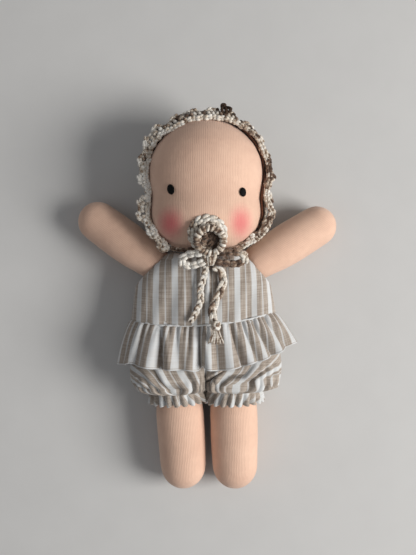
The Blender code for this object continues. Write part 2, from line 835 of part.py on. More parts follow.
def ties(neck, doll):
    """The crocheted ties: from the bonnet to the bow, the bow, and its tails on the chest."""
    cord("tie_run_left", LEFT_RUN, TIE_RUN_DIAMETER, neck, 10)
    cord("tie_run_right", RIGHT_RUN, TIE_RUN_DIAMETER, neck, 10)
    cord("bow_loop_left", LEFT_LOOP, TIE_DIAMETER, neck)
    cord("bow_loop_right", RIGHT_LOOP, TIE_DIAMETER, neck)
    piece("bow_knot", pillow("bow_knot", BOW_KNOT), "yarn", neck, BOW_PLACE)
    cord("tie_tail_left", LEFT_TAIL, TIE_DIAMETER, doll, 16)
    cord("tie_tail_right", RIGHT_TAIL, TIE_DIAMETER, doll, 16)
    knot = pillow("tail_knot", (2 * TAIL_KNOT_RADIUS,) * 3, 12)
    piece("tail_knot", knot, "yarn", doll, TAIL_KNOT_PLACE)
    tassel = pillow("tail_tassel", (TASSEL_WIDTH, TASSEL_LENGTH, TASSEL_WIDTH / 2), 12)
    x, y, z = TAIL_KNOT_PLACE
    reach = TAIL_KNOT_RADIUS + GAP + TASSEL_LENGTH / 2
    piece("tail_tassel", tassel, "yarn", doll, (x, y - reach, z))


def dummy_axis():
    """The direction in which the dummy comes off the mouth."""
    return Vector((0, -math.sin(DUMMY_TILT), math.cos(DUMMY_TILT)))


def dummy_turn():
    """The turn that points a piece's Z along that direction."""
    return Matrix.Rotation(DUMMY_TILT, 3, "X").to_euler()


def dummy_seat(out):
    """The middle of the mouth, moved out along the dummy's axis."""
    place = Vector((FACE_ASIDE, DUMMY_HEIGHT, face_level(FACE_ASIDE, DUMMY_HEIGHT)))
    return place + dummy_axis() * out


def disc_profile(radius, thickness):
    """Half the outline of a flat disc, from the top down."""
    return [(0.0, thickness), (radius, thickness), (radius, 0.0), (0.0, 0.0)]


def dummy(neck):
    """The crocheted dummy: a domed shield cut to the face, its magnet, and a ring."""
    hub = empty("mouth", dummy_seat(-DUMMY_SINK), neck)
    hub.rotation_euler = dummy_turn()
    profile = [(0.0, DUMMY_RISE), (DUMMY_RADIUS * DUMMY_FLAT_SHARE, DUMMY_RISE)]
    for n in range(1, 6):
        turn = math.pi / 2 * n / 5
        across = DUMMY_RADIUS * (DUMMY_FLAT_SHARE + (1 - DUMMY_FLAT_SHARE) * math.sin(turn))
        profile.append((across, DUMMY_EDGE + (DUMMY_RISE - DUMMY_EDGE) * math.cos(turn)))
    profile += [(DUMMY_RADIUS, -DUMMY_BACK), (0.0, -DUMMY_BACK)]
    shield = turned("dummy_shield", profile, 22, "yarn", hub)
    face = cutter("dummy_face", loft("dummy_face", head_rings(GAP)), neck)
    cut(shield, face)
    pocket = disc_profile(MAGNET_RADIUS + GAP, MAGNET_THICKNESS + GAP + DUMMY_BACK)
    level = DUMMY_SINK + MAGNET_LIFT
    hole = turned("shield_pocket", pocket, MAGNET_SIDES, None, hub, (0, 0, level - DUMMY_BACK), True)
    cut(shield, hole)
    disc = disc_profile(MAGNET_RADIUS, MAGNET_THICKNESS)
    turned("dummy_magnet", disc, MAGNET_SIDES, "magnet", hub, (0, 0, level))
    top = RING_RADIUS - RING_LOWER
    hinge = empty("ring_hinge", (0, top, DUMMY_RISE + GAP + RING_TUBE), hub)
    ring = torus("dummy_ring", RING_RADIUS, RING_TUBE, 22, "yarn", hinge, 8)
    ring.location = (0, -RING_RADIUS, 0)


def bodice_rings(grow):
    """The bodice's sections from the neckline to the waist seam."""
    rings = []
    for along, width, depth in BODICE_SHARES:
        half_width = width * BODICE_WIDTH / 2 - grow
        half_depth = depth * BODICE_DEPTH / 2 - grow
        level = BODICE_DEPTH / 2 - FLOOR_CUT
        y = -along * BODICE_LENGTH
        rings.append(section(y, half_width, half_depth, level, BODICE_SIDES, SQUARENESS, None, grow))
    return rings


def tube(name, outer, inner):
    """A sleeve with a wall, open at both ends."""
    return loop_loft(name, outer + list(reversed(inner)))


def arm_sweep(side, doll):
    """A cutter of the space that an arm sweeps between its lowest and highest angles.

    Lines along the arm run over its top from one end of the swing to the other, round
    the arm, back along its underside, and round the arm again.
    """
    outline = limb_profile(*arm_sizes()[:6], inset=-2 * GAP)[1:-3]
    tip, root = Vector((0, 0, ARM_REACH + HAND_RADIUS + 2 * GAP)), Vector()
    angles = (ARM_ANGLE_LOW, ARM_ANGLE_HIGH) if side == "right" else (ARM_ANGLE_HIGH, ARM_ANGLE_LOW)
    first, last = (arm_heading(side, angle) for angle in angles)
    steps = [first + (last - first) * n / (ARM_SWEEP_STEPS - 1) for n in range(ARM_SWEEP_STEPS)]
    lines = [(heading, 0.0) for heading in steps]
    lines += [(last, math.pi * n / ARM_SWEEP_TURNS) for n in range(1, ARM_SWEEP_TURNS)]
    lines += [(heading, math.pi) for heading in reversed(steps)]
    lines += [(first, math.pi + math.pi * n / ARM_SWEEP_TURNS) for n in range(1, ARM_SWEEP_TURNS)]
    rings = []
    for heading, turn in lines:
        frame = limb_turn(heading, arm_drop()).to_matrix()
        points = [Vector((r * math.sin(turn), r * math.cos(turn), s)) for r, s in outline]
        rings.append([frame @ p for p in [tip] + points + [root]])
    shape = bmesh.new()
    rows = [[shape.verts.new(p) for p in ring] for ring in rings]
    for n, row in enumerate(rows):
        other = rows[(n + 1) % len(rows)]
        for k in range(len(row) - 1):
            shape.faces.new((row[k], row[k + 1], other[k + 1], other[k]))
    bmesh.ops.remove_doubles(shape, verts=shape.verts, dist=FLOOR_CUT / 10)
    bmesh.ops.recalc_face_normals(shape, faces=shape.faces)
    mesh = bpy.data.meshes.new(f"arm_sweep_{side}")
    shape.to_mesh(mesh)
    shape.free()
    place = (side_sign(side) * SHOULDER_SPACING / 2, -SHOULDER_DROP, SHOULDER_LEVEL)
    return cutter(mesh.name, mesh, doll, place), ball(f"armhole_{side}", ARM_BALL + GAP, doll, place)


def bodice(doll):
    """The romper's sleeveless top, with armholes where the arms swing."""
    top = piece("bodice", tube("bodice", bodice_rings(0.0), bodice_rings(CLOTH)), "linen", doll)
    cut(top, *arm_sweep("left", doll), *arm_sweep("right", doll))


def peplum_rings(grow):
    """The gathered frill's sections, from the waist seam to its hem."""
    rings = []
    for along, spread, folding in PEPLUM_SHARES:
        half_width = (BODICE_WIDTH + (PEPLUM_WIDTH - BODICE_WIDTH) * spread) / 2 - grow
        half_depth = (BODICE_DEPTH + (PEPLUM_DEPTH - BODICE_DEPTH) * spread) / 2 - grow
        deep = PEPLUM_FOLD_DEPTH * folding

        def fold(turn, deep=deep):
            free = min(1.0, max(0.0, PRESSED_SHARE + math.sin(turn)))
            return deep * free * math.cos(PEPLUM_FOLDS * turn)

        def hem(turn, along=along):
            lift = PEPLUM_LIFT * max(0.0, math.cos(turn)) ** 2
            return -BODICE_LENGTH - GAP - (PEPLUM_LENGTH - lift) * along

        level = half_depth + grow
        rings.append(section(hem, half_width, half_depth, level, PEPLUM_SIDES, SQUARENESS, fold, grow))
    return rings


def peplum(doll):
    """The frill below the waist, with its folds."""
    piece("peplum", tube("peplum", peplum_rings(0.0), peplum_rings(CLOTH)), "linen", doll)


def bloomer_rings(grow):
    """The bloomers' sections from the waist seam to the seat."""
    rings = []
    for along, width, depth, folding in BLOOMER_SHARES:
        deep = BLOOMER_FOLD_DEPTH * folding

        def fold(turn, deep=deep):
            return deep * math.cos(BLOOMER_FOLDS * turn)

        y = -BODICE_LENGTH - GAP - along * (BLOOMER_LENGTH - grow)
        half_width = width * BLOOMER_WIDTH / 2 - grow - BLOOMER_FOLD_DEPTH
        half_depth = depth * BLOOMER_DEPTH / 2 - grow
        floor = BLOOMER_LEVEL + grow
        level = BLOOMER_LEVEL + BLOOMER_DEPTH / 2
        rings.append(section(y, half_width, half_depth, level, BLOOMER_SIDES, SQUARENESS, fold, floor))
    return rings


def bloomer_leg(name, side, profile, doll):
    """One leg of the bloomers as a turned form along the leg's own line."""
    lean = LEG_LEAN_LEFT if side == "left" else LEG_LEAN_RIGHT
    place = (side_sign(side) * HIP_SPACING / 2, -HIP_DROP, HIP_LEVEL)
    made = turned(name, profile, CUFF_SIDES, None, doll, place, True)
    made.rotation_euler = limb_turn(lean - math.pi / 2, leg_drop())
    return made


def bloomers(doll):
    """The romper's gathered shorts, one piece with two elastic cuffs."""
    outer, inner = bloomer_rings(0.0), bloomer_rings(CLOTH)
    shorts = piece("bloomers", loft("bloomers", outer), "linen", doll)
    end = CUFF_STATION + CUFF_FRILL
    leg = [(CUFF_RADIUS * wide + CLOTH, end * along) for along, wide in BLOOMER_LEG_SHARES]
    leg = [(0.0, leg[0][1])] + leg + [(0.0, leg[-1][1])]
    wide = BLOOMER_WIDTH * 2
    under = block("bloomer_floor", (wide, wide, OVERRUN), doll, (0, -HIP_DROP, GAP - OVERRUN / 2))
    for side in ("left", "right"):
        form = bloomer_leg(f"bloomer_leg_{side}", side, leg[::-1], doll)
        cut(form, under)
        cut(shorts, form, operation="UNION")
    high = [(x, OVERRUN - BODICE_LENGTH, z) for x, _, z in inner[0]]
    hollow = cutter("bloomer_hollow", loft("bloomer_hollow", [high] + inner[1:]), doll)
    bore = [(0.0, OVERRUN), (CUFF_RADIUS, OVERRUN), (CUFF_RADIUS, -LEG_BALL), (0.0, -LEG_BALL)]
    for side in ("left", "right"):
        cut(hollow, bloomer_leg(f"bloomer_bore_{side}", side, bore, doll), operation="UNION")
    cut(shorts, hollow)


def centre_doll(doll):
    """Move the doll so that the middle of its underside is at the origin."""
    bpy.context.view_layer.update()
    graph = bpy.context.evaluated_depsgraph_get()
    spots = []
    for thing in PARTS.objects:
        if thing.type == "MESH" and not thing.name.startswith(("tail_", "bow_")):
            seen = thing.evaluated_get(graph)
            mesh = seen.to_mesh()
            spots += [seen.matrix_world @ v.co for v in mesh.vertices]
            seen.to_mesh_clear()
    low = [min(p[n] for p in spots) for n in range(3)]
    high = [max(p[n] for p in spots) for n in range(3)]
    doll.location = (-(low[0] + high[0]) / 2, -(low[1] + high[1]) / 2, -low[2])


def build():
    """Every sub-part of the doll."""
    doll = empty("doll", (0, 0, 0))
    neck = empty("neck", (0, 0, 0), doll)
    wide = PEPLUM_WIDTH * 4
    floor = block("floor", (wide, wide, OVERRUN), doll, (0, 0, -OVERRUN / 2))
    torso(doll)
    head(neck)
    eyes(neck)
    bonnet(neck, floor)
    edging(neck)
    dummy(neck)
    arms(doll, floor)
    legs(doll, floor)
    bodice(doll)
    peplum(doll)
    bloomers(doll)
    ties(neck, doll)
    centre_doll(doll)


build()
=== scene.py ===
"""The looks of a stuffed cloth baby doll that lies on its back in a crocheted bonnet.

Metres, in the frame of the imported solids: X runs across the doll, Y from its feet to its
crown, Z from the floor up to its face.  Each sub-assembly is a class that holds its sizes,
models its pieces over the solids and dresses them in its finishes.
"""

import json
import logging
import math
import random
from contextlib import contextmanager
from dataclasses import dataclass
from enum import Enum
from typing import Callable, Iterator, Optional, Sequence, Union

import bpy
import numpy as np
from mathutils import Matrix, Vector
from mathutils.bvhtree import BVHTree


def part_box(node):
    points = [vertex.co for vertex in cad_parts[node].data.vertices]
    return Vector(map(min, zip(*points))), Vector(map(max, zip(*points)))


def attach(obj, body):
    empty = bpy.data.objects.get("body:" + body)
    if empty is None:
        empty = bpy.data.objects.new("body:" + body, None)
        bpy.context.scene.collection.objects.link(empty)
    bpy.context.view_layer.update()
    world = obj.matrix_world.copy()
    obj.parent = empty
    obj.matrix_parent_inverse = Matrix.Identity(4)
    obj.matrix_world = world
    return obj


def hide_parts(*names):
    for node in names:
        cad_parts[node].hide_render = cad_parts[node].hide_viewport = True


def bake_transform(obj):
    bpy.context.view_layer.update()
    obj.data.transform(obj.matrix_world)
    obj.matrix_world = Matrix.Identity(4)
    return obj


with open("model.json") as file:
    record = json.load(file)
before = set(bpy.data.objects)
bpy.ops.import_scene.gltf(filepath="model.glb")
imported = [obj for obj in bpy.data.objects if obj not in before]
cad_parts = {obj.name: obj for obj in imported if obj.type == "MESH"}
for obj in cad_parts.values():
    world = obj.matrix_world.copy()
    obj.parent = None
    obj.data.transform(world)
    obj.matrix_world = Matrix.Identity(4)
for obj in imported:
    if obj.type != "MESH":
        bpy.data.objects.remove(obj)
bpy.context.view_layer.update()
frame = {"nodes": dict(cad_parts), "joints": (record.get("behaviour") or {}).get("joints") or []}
LOG = logging.getLogger("doll")

Point = Sequence[float]
Colour = tuple[float, float, float]
Piece = bpy.types.Object
Material = bpy.types.Material
Socket = bpy.types.NodeSocket
Array = np.ndarray


def hinge(joint: str) -> list[float]:
    """The place that a joint turns about."""
    return next(one for one in frame["joints"] if one["name"] == joint)["pos_m"]


NECK = hinge("neck_turn")
UP = Vector((0, 0, 1))
FLOOR_GAP = 0.0004
TINY = 1e-12
DOUBLES = 1e-6
MM = 0.001
REPEAT = 0.0126


class Side(Enum):
    """The two sides of the doll as the picture shows them."""

    LEFT = "left"
    RIGHT = "right"

    @property
    def sign(self) -> int:
        """The side's sign on X."""
        return 1 if self is Side.RIGHT else -1


def at(x: float, y: float, z: float) -> Vector:
    """A place given from the neck seam on the doll's own midline.

    Args:
        x, y, z: metres to the right, towards the crown and above the floor.

    Returns:
        The same place in the frame of the solids.
    """
    return Vector((x + NECK[0], y + NECK[1], z))


def route(points: Sequence[Point]) -> list[Vector]:
    """The same as at(), for each of several places in millimetres."""
    return [at(*(n * MM for n in point)) for point in points]


def arrow(turn: float, z: float = 0.0) -> Vector:
    """An arrow one metre long over the floor, at a turn from X, with its tip at z."""
    return Vector((math.cos(turn), math.sin(turn), z))


# ---- shader maths


class Value:
    """A number that changes over a surface, joined by Python's own operators."""

    def __init__(self, board: "Board", socket: Socket) -> None:
        """Wrap a socket of a board."""
        self.board = board
        self.socket = socket

    def maths(self, operation: str, *others: "Number") -> "Value":
        """Add one Math node that works on this value and the others."""
        return self.board.maths(operation, self, *others)

    def __add__(self, other: "Number") -> "Value":
        """The sum."""
        return self.maths("ADD", other)

    def __sub__(self, other: "Number") -> "Value":
        """The difference."""
        return self.maths("SUBTRACT", other)

    def __mul__(self, other: "Number") -> "Value":
        """The product."""
        return self.maths("MULTIPLY", other)

    def __truediv__(self, other: "Number") -> "Value":
        """The quotient."""
        return self.maths("DIVIDE", other)

    def __rsub__(self, other: float) -> "Value":
        """A plain number less this value."""
        return self.board.maths("SUBTRACT", other, self)

    def __rtruediv__(self, other: float) -> "Value":
        """A plain number shared by this value."""
        return self.board.maths("DIVIDE", other, self)

    __radd__ = __add__
    __rmul__ = __mul__

    def wave(self) -> "Value":
        """A smooth wave between 0 and 1 with its crests at whole numbers."""
        return (self * math.tau).maths("COSINE") * 0.5 + 0.5

    def part(self) -> "Value":
        """What is left after the whole number."""
        return self.maths("FRACT")

    def step(self, low: float, high: float) -> "Value":
        """A smooth climb from 0 at low to 1 at high."""
        settings = {"interpolation_type": "SMOOTHSTEP"}
        values = {"Value": self, "From Min": low, "From Max": high}
        return Value(self.board, self.board.node("ShaderNodeMapRange", settings, values))


Number = Union[float, Value]


class Board:
    """One material's board of nodes, from its first coordinate to its surface."""

    MIX_INPUTS = (0, 6, 7)
    MIX_COLOUR = 2

    def __init__(self, name: str) -> None:
        """Start a material with a Principled surface."""
        self.material = bpy.data.materials.new(name)
        self.material.use_nodes = True
        self.tree = self.material.node_tree
        self.shader = self.tree.nodes["Principled BSDF"]

    def node(
        self,
        kind: str,
        settings: Optional[dict] = None,
        values: Optional[dict] = None,
        out: Union[int, str] = 0,
    ) -> Socket:
        """Add a node.

        Args:
            kind: the node's type.
            settings: what is chosen on the node, and a ramp's stops.
            values: what each socket holds, or the socket or value that feeds it.
            out: which of its sockets to read.

        Returns:
            That socket.
        """
        made = self.tree.nodes.new(kind)
        for key, choice in (settings or {}).items():
            if key == "stops":
                self._stops(made.color_ramp, choice)
            else:
                setattr(made, key, choice)
        for key, value in (values or {}).items():
            self.feed(made.inputs[key], value)
        return made.outputs[out]

    @staticmethod
    def _stops(ramp: bpy.types.ColorRamp, stops: Sequence[tuple[float, Colour]]) -> None:
        """Set a ramp's stops, each a place and a colour."""
        while len(ramp.elements) < len(stops):
            ramp.elements.new(1.0)
        for element, (place, colour) in zip(ramp.elements, stops):
            element.position = place
            element.color = (*colour, 1.0)

    def feed(self, socket: Socket, value: object) -> None:
        """Set a socket's own value, or link what feeds it."""
        if isinstance(value, Value):
            value = value.socket
        if isinstance(value, Socket):
            self.tree.links.new(value, socket)
        elif socket.type == "RGBA":
            socket.default_value = (*value, 1.0)
        else:
            socket.default_value = value

    def maths(self, operation: str, *values: Number) -> Value:
        """One Math node on up to three values."""
        fed = dict(enumerate(values))
        return Value(self, self.node("ShaderNodeMath", {"operation": operation}, fed))

    def place(self) -> Socket:
        """Where a point is in the frame of the solids."""
        return self.node("ShaderNodeTexCoord", out="Object")

    def cloth(self) -> tuple[Value, Value]:
        """Where a point is on the piece's own cloth: across and along, in metres."""
        layer = self.node("ShaderNodeUVMap", {"uv_map": "cloth"})
        return self.split(layer)[:2]

    def split(self, vector: Socket) -> tuple[Value, Value, Value]:
        """The three numbers of a vector."""
        first = self.node("ShaderNodeSeparateXYZ", None, {"Vector": vector})
        return tuple(Value(self, socket) for socket in first.node.outputs)

    def join(self, x: Number, y: Number, z: Number = 0.0) -> Socket:
        """A vector of three numbers."""
        return self.node("ShaderNodeCombineXYZ", None, {"X": x, "Y": y, "Z": z})

    def noise(self, vector: Socket, scale: float, detail: float = 2.0) -> Value:
        """Soft noise between 0 and 1."""
        values = {"Vector": vector, "Scale": scale, "Detail": detail}
        return Value(self, self.node("ShaderNodeTexNoise", None, values))

    def mix(self, share: Number, first: object, second: object) -> object:
        """A colour between two colours."""
        made = self.node("ShaderNodeMix", {"data_type": "RGBA"}).node
        for key, value in zip(self.MIX_INPUTS, (share, first, second)):
            self.feed(made.inputs[key], value)
        return made.outputs[self.MIX_COLOUR]

    def ramp(self, value: Number, stops: Sequence[tuple[float, Colour]]) -> object:
        """A colour read off a row of stops."""
        return self.node("ShaderNodeValToRGB", {"stops": stops}, {"Fac": value})

    def bump(self, height: Value, depth: float, strength: float = 1.0) -> None:
        """Raise the surface by a height of 0 to 1 times a depth."""
        values = {"Height": height, "Distance": depth, "Strength": strength}
        self.feed(self.shader.inputs["Normal"], self.node("ShaderNodeBump", None, values))

    def surface(self, **values: object) -> Material:
        """Set the surface's sockets and give the material back.

        Args:
            values: sockets by name, with _ for a space.

        Returns:
            The finished material.
        """
        for key, value in values.items():
            self.feed(self.shader.inputs[key.replace("_", " ")], value)
        return self.material


# ---- finishes


@dataclass(frozen=True)
class KnitSkin:
    """Fine doll's stockinette: columns of small stitches, and rouge on the cheeks."""

    colour: Colour = (0.830, 0.570, 0.430)
    # The darker tone, used for the random mottling and for painted shade in the valleys between the
    # wales.
    shade: Colour = (0.640, 0.405, 0.300)
    wale: float = 0.00115
    course: float = 0.00085
    depth: float = 0.00014

    def make(self, name: str, cheeks: Sequence["Rouge"] = ()) -> Material:
        """Knit the cloth and rub the rouge into it.

        Args:
            name: the material's name.
            cheeks: patches of rouge, each with its own place and colour.

        Returns:
            The material.
        """
        board = Board(name)
        across, along = board.cloth()
        place = board.place()
        soft = board.noise(place, 55.0, 3.0)
        fuzz = board.noise(place, 1400.0, 2.0)
        drift = board.noise(place, 240.0, 2.0)
        column = across / self.wale + soft * 0.5 + drift
        rib = column.wave()
        leg = (column.part() - 0.5).maths("ABSOLUTE")
        stitch = (along / self.course + leg * 1.1).wave()
        height = rib * 0.48 + stitch * rib * 0.34 + fuzz * 0.28
        # Darker where the stitches dip: painted shade in the valleys between the wales, over random
        # mottling from the noise.
        tone = height * 0.30 + soft * 0.45 + drift * 0.25
        colour = board.mix(tone.step(0.10, 0.85), self.shade, self.colour)
        for cheek in cheeks:
            colour = cheek.rub(board, place, colour, fuzz, rib)
        board.bump(height, self.depth, 0.8)
        return board.surface(
            Base_Color=colour,
            Roughness=0.86 - height * 0.06,
            Sheen_Weight=0.25,
            Sheen_Roughness=0.45,
            Specular_IOR_Level=0.25,
        )


@dataclass(frozen=True)
class Rouge:
    """A soft patch of rouge rubbed into the cloth."""

    middle: Point
    size: Point
    colour: Colour
    strength: float

    def rub(self, board: Board, place: object, colour: object, fuzz: Value, rib: Value) -> object:
        """Lay the rouge over a colour, heavier on the tops of the stitches."""
        values = {0: place, 1: at(*self.middle)}
        away = board.node("ShaderNodeVectorMath", {"operation": "SUBTRACT"}, values)
        x, y, _ = board.split(away)
        x, y = x / self.size[0], y / self.size[1]
        reach = (x * x + y * y).maths("SQRT")
        mask = (1.0 - (reach + (fuzz - 0.5) * 0.25).step(0.05, 1.0)) * self.strength
        return board.mix(mask * (rib * 0.25 + 0.80), colour, self.colour)


@dataclass(frozen=True)
class StripedLinen:
    """Washed linen of taupe yarn with a wide and a narrow white stripe by turns."""

    ground: Colour = (0.510, 0.445, 0.385)
    dark: Colour = (0.310, 0.258, 0.215)
    white: Colour = (0.700, 0.718, 0.725)
    hem: float = 0.0
    repeat: float = REPEAT
    thread: float = 0.00062
    depth: float = 0.00016

    def make(self, name: str) -> Material:
        """Weave the cloth along the piece's own UV map."""
        board = Board(name)
        across, along = board.cloth()
        fuzz = board.noise(board.join(across * 900.0, along * 90.0), 1.0, 2.0)
        slub = board.noise(board.join(across * 1500.0, along * 60.0, 0.3), 1.0, 2.0)
        pick = board.noise(board.join(across * 70.0, along * 1700.0, 0.7), 1.0, 2.0)
        phase = (across / self.repeat + 0.5 + (fuzz - 0.5) * 0.035).part()
        wide = phase.step(0.315, 0.360) * (1.0 - phase.step(0.640, 0.685))
        aside = (phase - 0.5).maths("ABSOLUTE")
        narrow = aside.step(0.452, 0.468)
        line = aside.step(0.30, 0.32) * (1.0 - aside.step(0.34, 0.36))
        warp = (across / self.thread).wave()
        weft = (along / self.thread).wave()
        weave = warp * (1.0 - weft) + weft * (1.0 - warp)
        tone = (slub * 0.5 + pick * 0.5).step(0.36, 0.64)
        ground = board.mix(tone, self.dark, self.ground)
        ground = board.mix(line * 0.35, ground, self.dark)
        white = board.mix(tone * 0.25 + 0.75, self.ground, self.white)
        colour = board.mix((wide + narrow * 0.75).maths("MINIMUM", 1.0), ground, white)
        if self.hem:
            edge = 0.0 - along
            # A pale line along the rolled hem's fold: a painted highlight; just above it, a dark
            # line of stitching.
            fold = edge.step(self.hem - 0.0008, self.hem - 0.0006)
            stitched = edge.step(self.hem - 0.0016, self.hem - 0.0013) * (1.0 - fold)
            colour = board.mix(stitched * 0.45, colour, self.dark)
            colour = board.mix(fold * 0.70, colour, self.white)
        colour = board.mix(weave * 0.18, colour, (0.12, 0.10, 0.08))
        board.bump(weave * 0.45 + slub * 0.35 + pick * 0.25, self.depth, 0.9)
        return board.surface(
            Base_Color=colour,
            Roughness=0.92 - tone * 0.08,
            Sheen_Weight=0.15,
            Sheen_Roughness=0.5,
            Specular_IOR_Level=0.2,
        )


@dataclass(frozen=True)
class CrochetYarn:
    """Soft plied yarn whose dye runs from cream through taupe to dark brown."""

    stops: tuple = (
        (0.00, (0.050, 0.028, 0.018)),
        (0.25, (0.170, 0.105, 0.072)),
        (0.42, (0.380, 0.290, 0.215)),
        (0.55, (0.700, 0.620, 0.520)),
        (1.00, (0.880, 0.850, 0.790)),
    )
    # The bonnet's inside takes a warm colour far brighter than the yarn's own brown: a painted warm
    # reflection of the face.
    inside: Colour = (0.53, 0.255, 0.165)
    ply: float = 0.0017
    depth: float = 0.00015

    def make(self, name: str) -> Material:
        """Dye and ply the yarn."""
        board = Board(name)
        across, along = board.cloth()
        place = board.place()
        layer = board.node("ShaderNodeAttribute", {"attribute_name": "dye"}, out="Fac")
        dye = Value(board, layer)
        blotch = board.noise(place, 420.0, 2.0)
        fuzz = board.noise(place, 2600.0, 2.0)
        tone = dye + (blotch - 0.5) * 1.25 + (fuzz - 0.5) * 0.25
        plies = (along / self.ply + across).wave()
        colour = board.ramp(tone, self.stops)
        # Points dyed below nothing take that colour: the painted warm reflection inside the bonnet.
        colour = board.mix((0.0 - dye).step(0.5, 1.2), colour, self.inside)
        # Darker in the grooves between the plies: painted shade.
        colour = board.mix((1.0 - plies) * 0.22, colour, (0.12, 0.085, 0.06))
        board.bump(plies * 0.45 + fuzz * 0.55, self.depth, 0.8)
        return board.surface(
            Base_Color=colour,
            Roughness=0.94 - fuzz * 0.08,
            Sheen_Weight=0.3,
            Sheen_Roughness=0.5,
            Specular_IOR_Level=0.2,
        )


@dataclass(frozen=True)
class Stitches:
    """Thread or yarn laid close in one direction, for the eyes and small trimmings."""

    colour: Colour
    # The lighter colour, laid on the threads' crests: painted highlight, broken up by noise.
    light: Colour
    pitch: float = 0.00035
    roughness: float = 0.7

    def make(self, name: str) -> Material:
        """Lay the threads along Y."""
        board = Board(name)
        x, y, _ = board.split(board.place())
        wander = board.noise(board.place(), 700.0)
        rows = (x / self.pitch + y / self.pitch * 0.2 + wander).wave()
        board.bump(rows, 0.00010, 0.8)
        # Lighter on the threads' crests where the noise allows: painted highlight.
        return board.surface(
            Base_Color=board.mix(rows * wander, self.colour, self.light),
            Roughness=self.roughness - rows * 0.15,
            Specular_IOR_Level=0.12,
        )


@dataclass(frozen=True)
class PlatedDisc:
    """The nickel skin of a small sewn-in magnet, dulled by handling."""

    colour: Colour = (0.60, 0.60, 0.61)

    def make(self, name: str) -> Material:
        """Plate the disc."""
        board = Board(name)
        smear = board.noise(board.place(), 900.0, 4.0)
        board.bump(smear, 0.00004, 0.4)
        dull = tuple(0.6 * c for c in self.colour)
        colour = board.mix(smear.step(0.35, 0.75), self.colour, dull)
        return board.surface(Base_Color=colour, Roughness=smear * 0.35 + 0.18, Metallic=1.0)


# ---- the workbench


def let_go() -> None:
    """Leave edit mode and let go of everything that is selected."""
    if bpy.context.object and bpy.context.object.mode != "OBJECT":
        bpy.ops.object.mode_set(mode="OBJECT")
    bpy.ops.object.select_all(action="DESELECT")


def take(piece: Piece) -> Piece:
    """Select one piece alone and make it the active one."""
    let_go()
    piece.select_set(True)
    bpy.context.view_layer.objects.active = piece
    return piece


@contextmanager
def editing(piece: Piece) -> Iterator[None]:
    """Edit mode with all of one piece selected, left again at the end."""
    take(piece)
    bpy.ops.object.mode_set(mode="EDIT")
    bpy.ops.mesh.select_all(action="SELECT")
    yield
    bpy.ops.object.mode_set(mode="OBJECT")


def put_down(name: str) -> Piece:
    """Leave edit mode, and name the active piece and its mesh."""
    bpy.ops.object.mode_set(mode="OBJECT")
    piece = bpy.context.object
    piece.name = piece.data.name = name
    return piece


def bring(name: str, data: bpy.types.ID) -> Piece:
    """Put a mesh, a camera or a lamp into the scene."""
    piece = bpy.data.objects.new(name, data)
    bpy.context.scene.collection.objects.link(piece)
    return piece


def settle(piece: Piece) -> Piece:
    """Put a piece's place into its mesh, close its doubles and turn its faces out."""
    take(piece)
    bpy.ops.object.transform_apply(location=True, rotation=True, scale=True)
    with editing(piece):
        bpy.ops.mesh.remove_doubles(threshold=DOUBLES)
        bpy.ops.mesh.normals_make_consistent(inside=False)
    bpy.ops.object.shade_smooth()
    return piece


def backing(node: str, name: str, inset: float) -> Piece:
    """The fabric behind the stitches: a solid's own form, drawn in a little.

    Args:
        node: the solid's node.
        name: the backing's name.
        inset: how far it is drawn in.

    Returns:
        The backing, with its cloth laid flat over the floor's plane.
    """
    piece = settle(bring(name, frame["nodes"][node].data.copy()))
    modify(piece, "DISPLACE", strength=-inset, mid_level=0.0)
    spots, index = corners(piece)
    lay(piece, spots[index][:, :2])
    return piece


def dye_points(piece: Piece, tones: Sequence[float]) -> None:
    """Write each point's place on the dye's ramp."""
    layer = piece.data.attributes.new("dye", "FLOAT", "POINT")
    layer.data.foreach_set("value", np.asarray(tones, dtype=np.float32))


def modify(piece: Piece, kind: str, **settings: object) -> Piece:
    """Add one modifier and apply it.

    Args:
        piece: the piece to change.
        kind: the modifier's type.
        settings: its own settings.

    Returns:
        The piece.
    """
    take(piece)
    step = piece.modifiers.new(kind.lower(), kind)
    for key, value in settings.items():
        setattr(step, key, value)
    bpy.ops.object.modifier_apply(modifier=step.name)
    return piece


def join(name: str, pieces: Sequence[Piece]) -> Piece:
    """Sew several meshes into one piece."""
    take(pieces[0])
    for other in pieces[1:]:
        other.select_set(True)
    bpy.ops.object.join()
    return put_down(name)


def grid(name: str, points: Array, cloth: Array) -> Piece:
    """A tube of quads.

    Args:
        name: the piece's name.
        points: rows by columns by 3, in metres; each row's last point is its first.
        cloth: rows by columns by 2, where each point is on the flat cloth.

    Returns:
        The piece.
    """
    rows, columns = points.shape[:2]
    index = np.arange(rows * columns).reshape(rows, columns)
    low, high = index[:-1], index[1:]
    faces = np.stack((low[:, :-1], low[:, 1:], high[:, 1:], high[:, :-1]), -1).reshape(-1, 4)
    piece = new_mesh(name, points.reshape(-1, 3), faces.tolist())
    lay(piece, cloth.reshape(-1, 2)[faces.reshape(-1)])
    with editing(piece):
        bpy.ops.mesh.remove_doubles(threshold=DOUBLES)
    return piece


def new_mesh(name: str, points: Sequence[Point], faces: Sequence) -> Piece:
    """A new piece from points and faces."""
    mesh = bpy.data.meshes.new(name)
    mesh.from_pydata([tuple(map(float, p)) for p in points], [], faces)
    mesh.update()
    mesh.shade_smooth()
    return bring(name, mesh)


def lay(piece: Piece, cloth: Array) -> None:
    """Write the UV map called cloth, one pair for each corner."""
    layers = piece.data.uv_layers
    layer = layers.get("cloth") or layers.new(name="cloth")
    layer.data.foreach_set("uv", np.asarray(cloth, dtype=np.float32).reshape(-1))


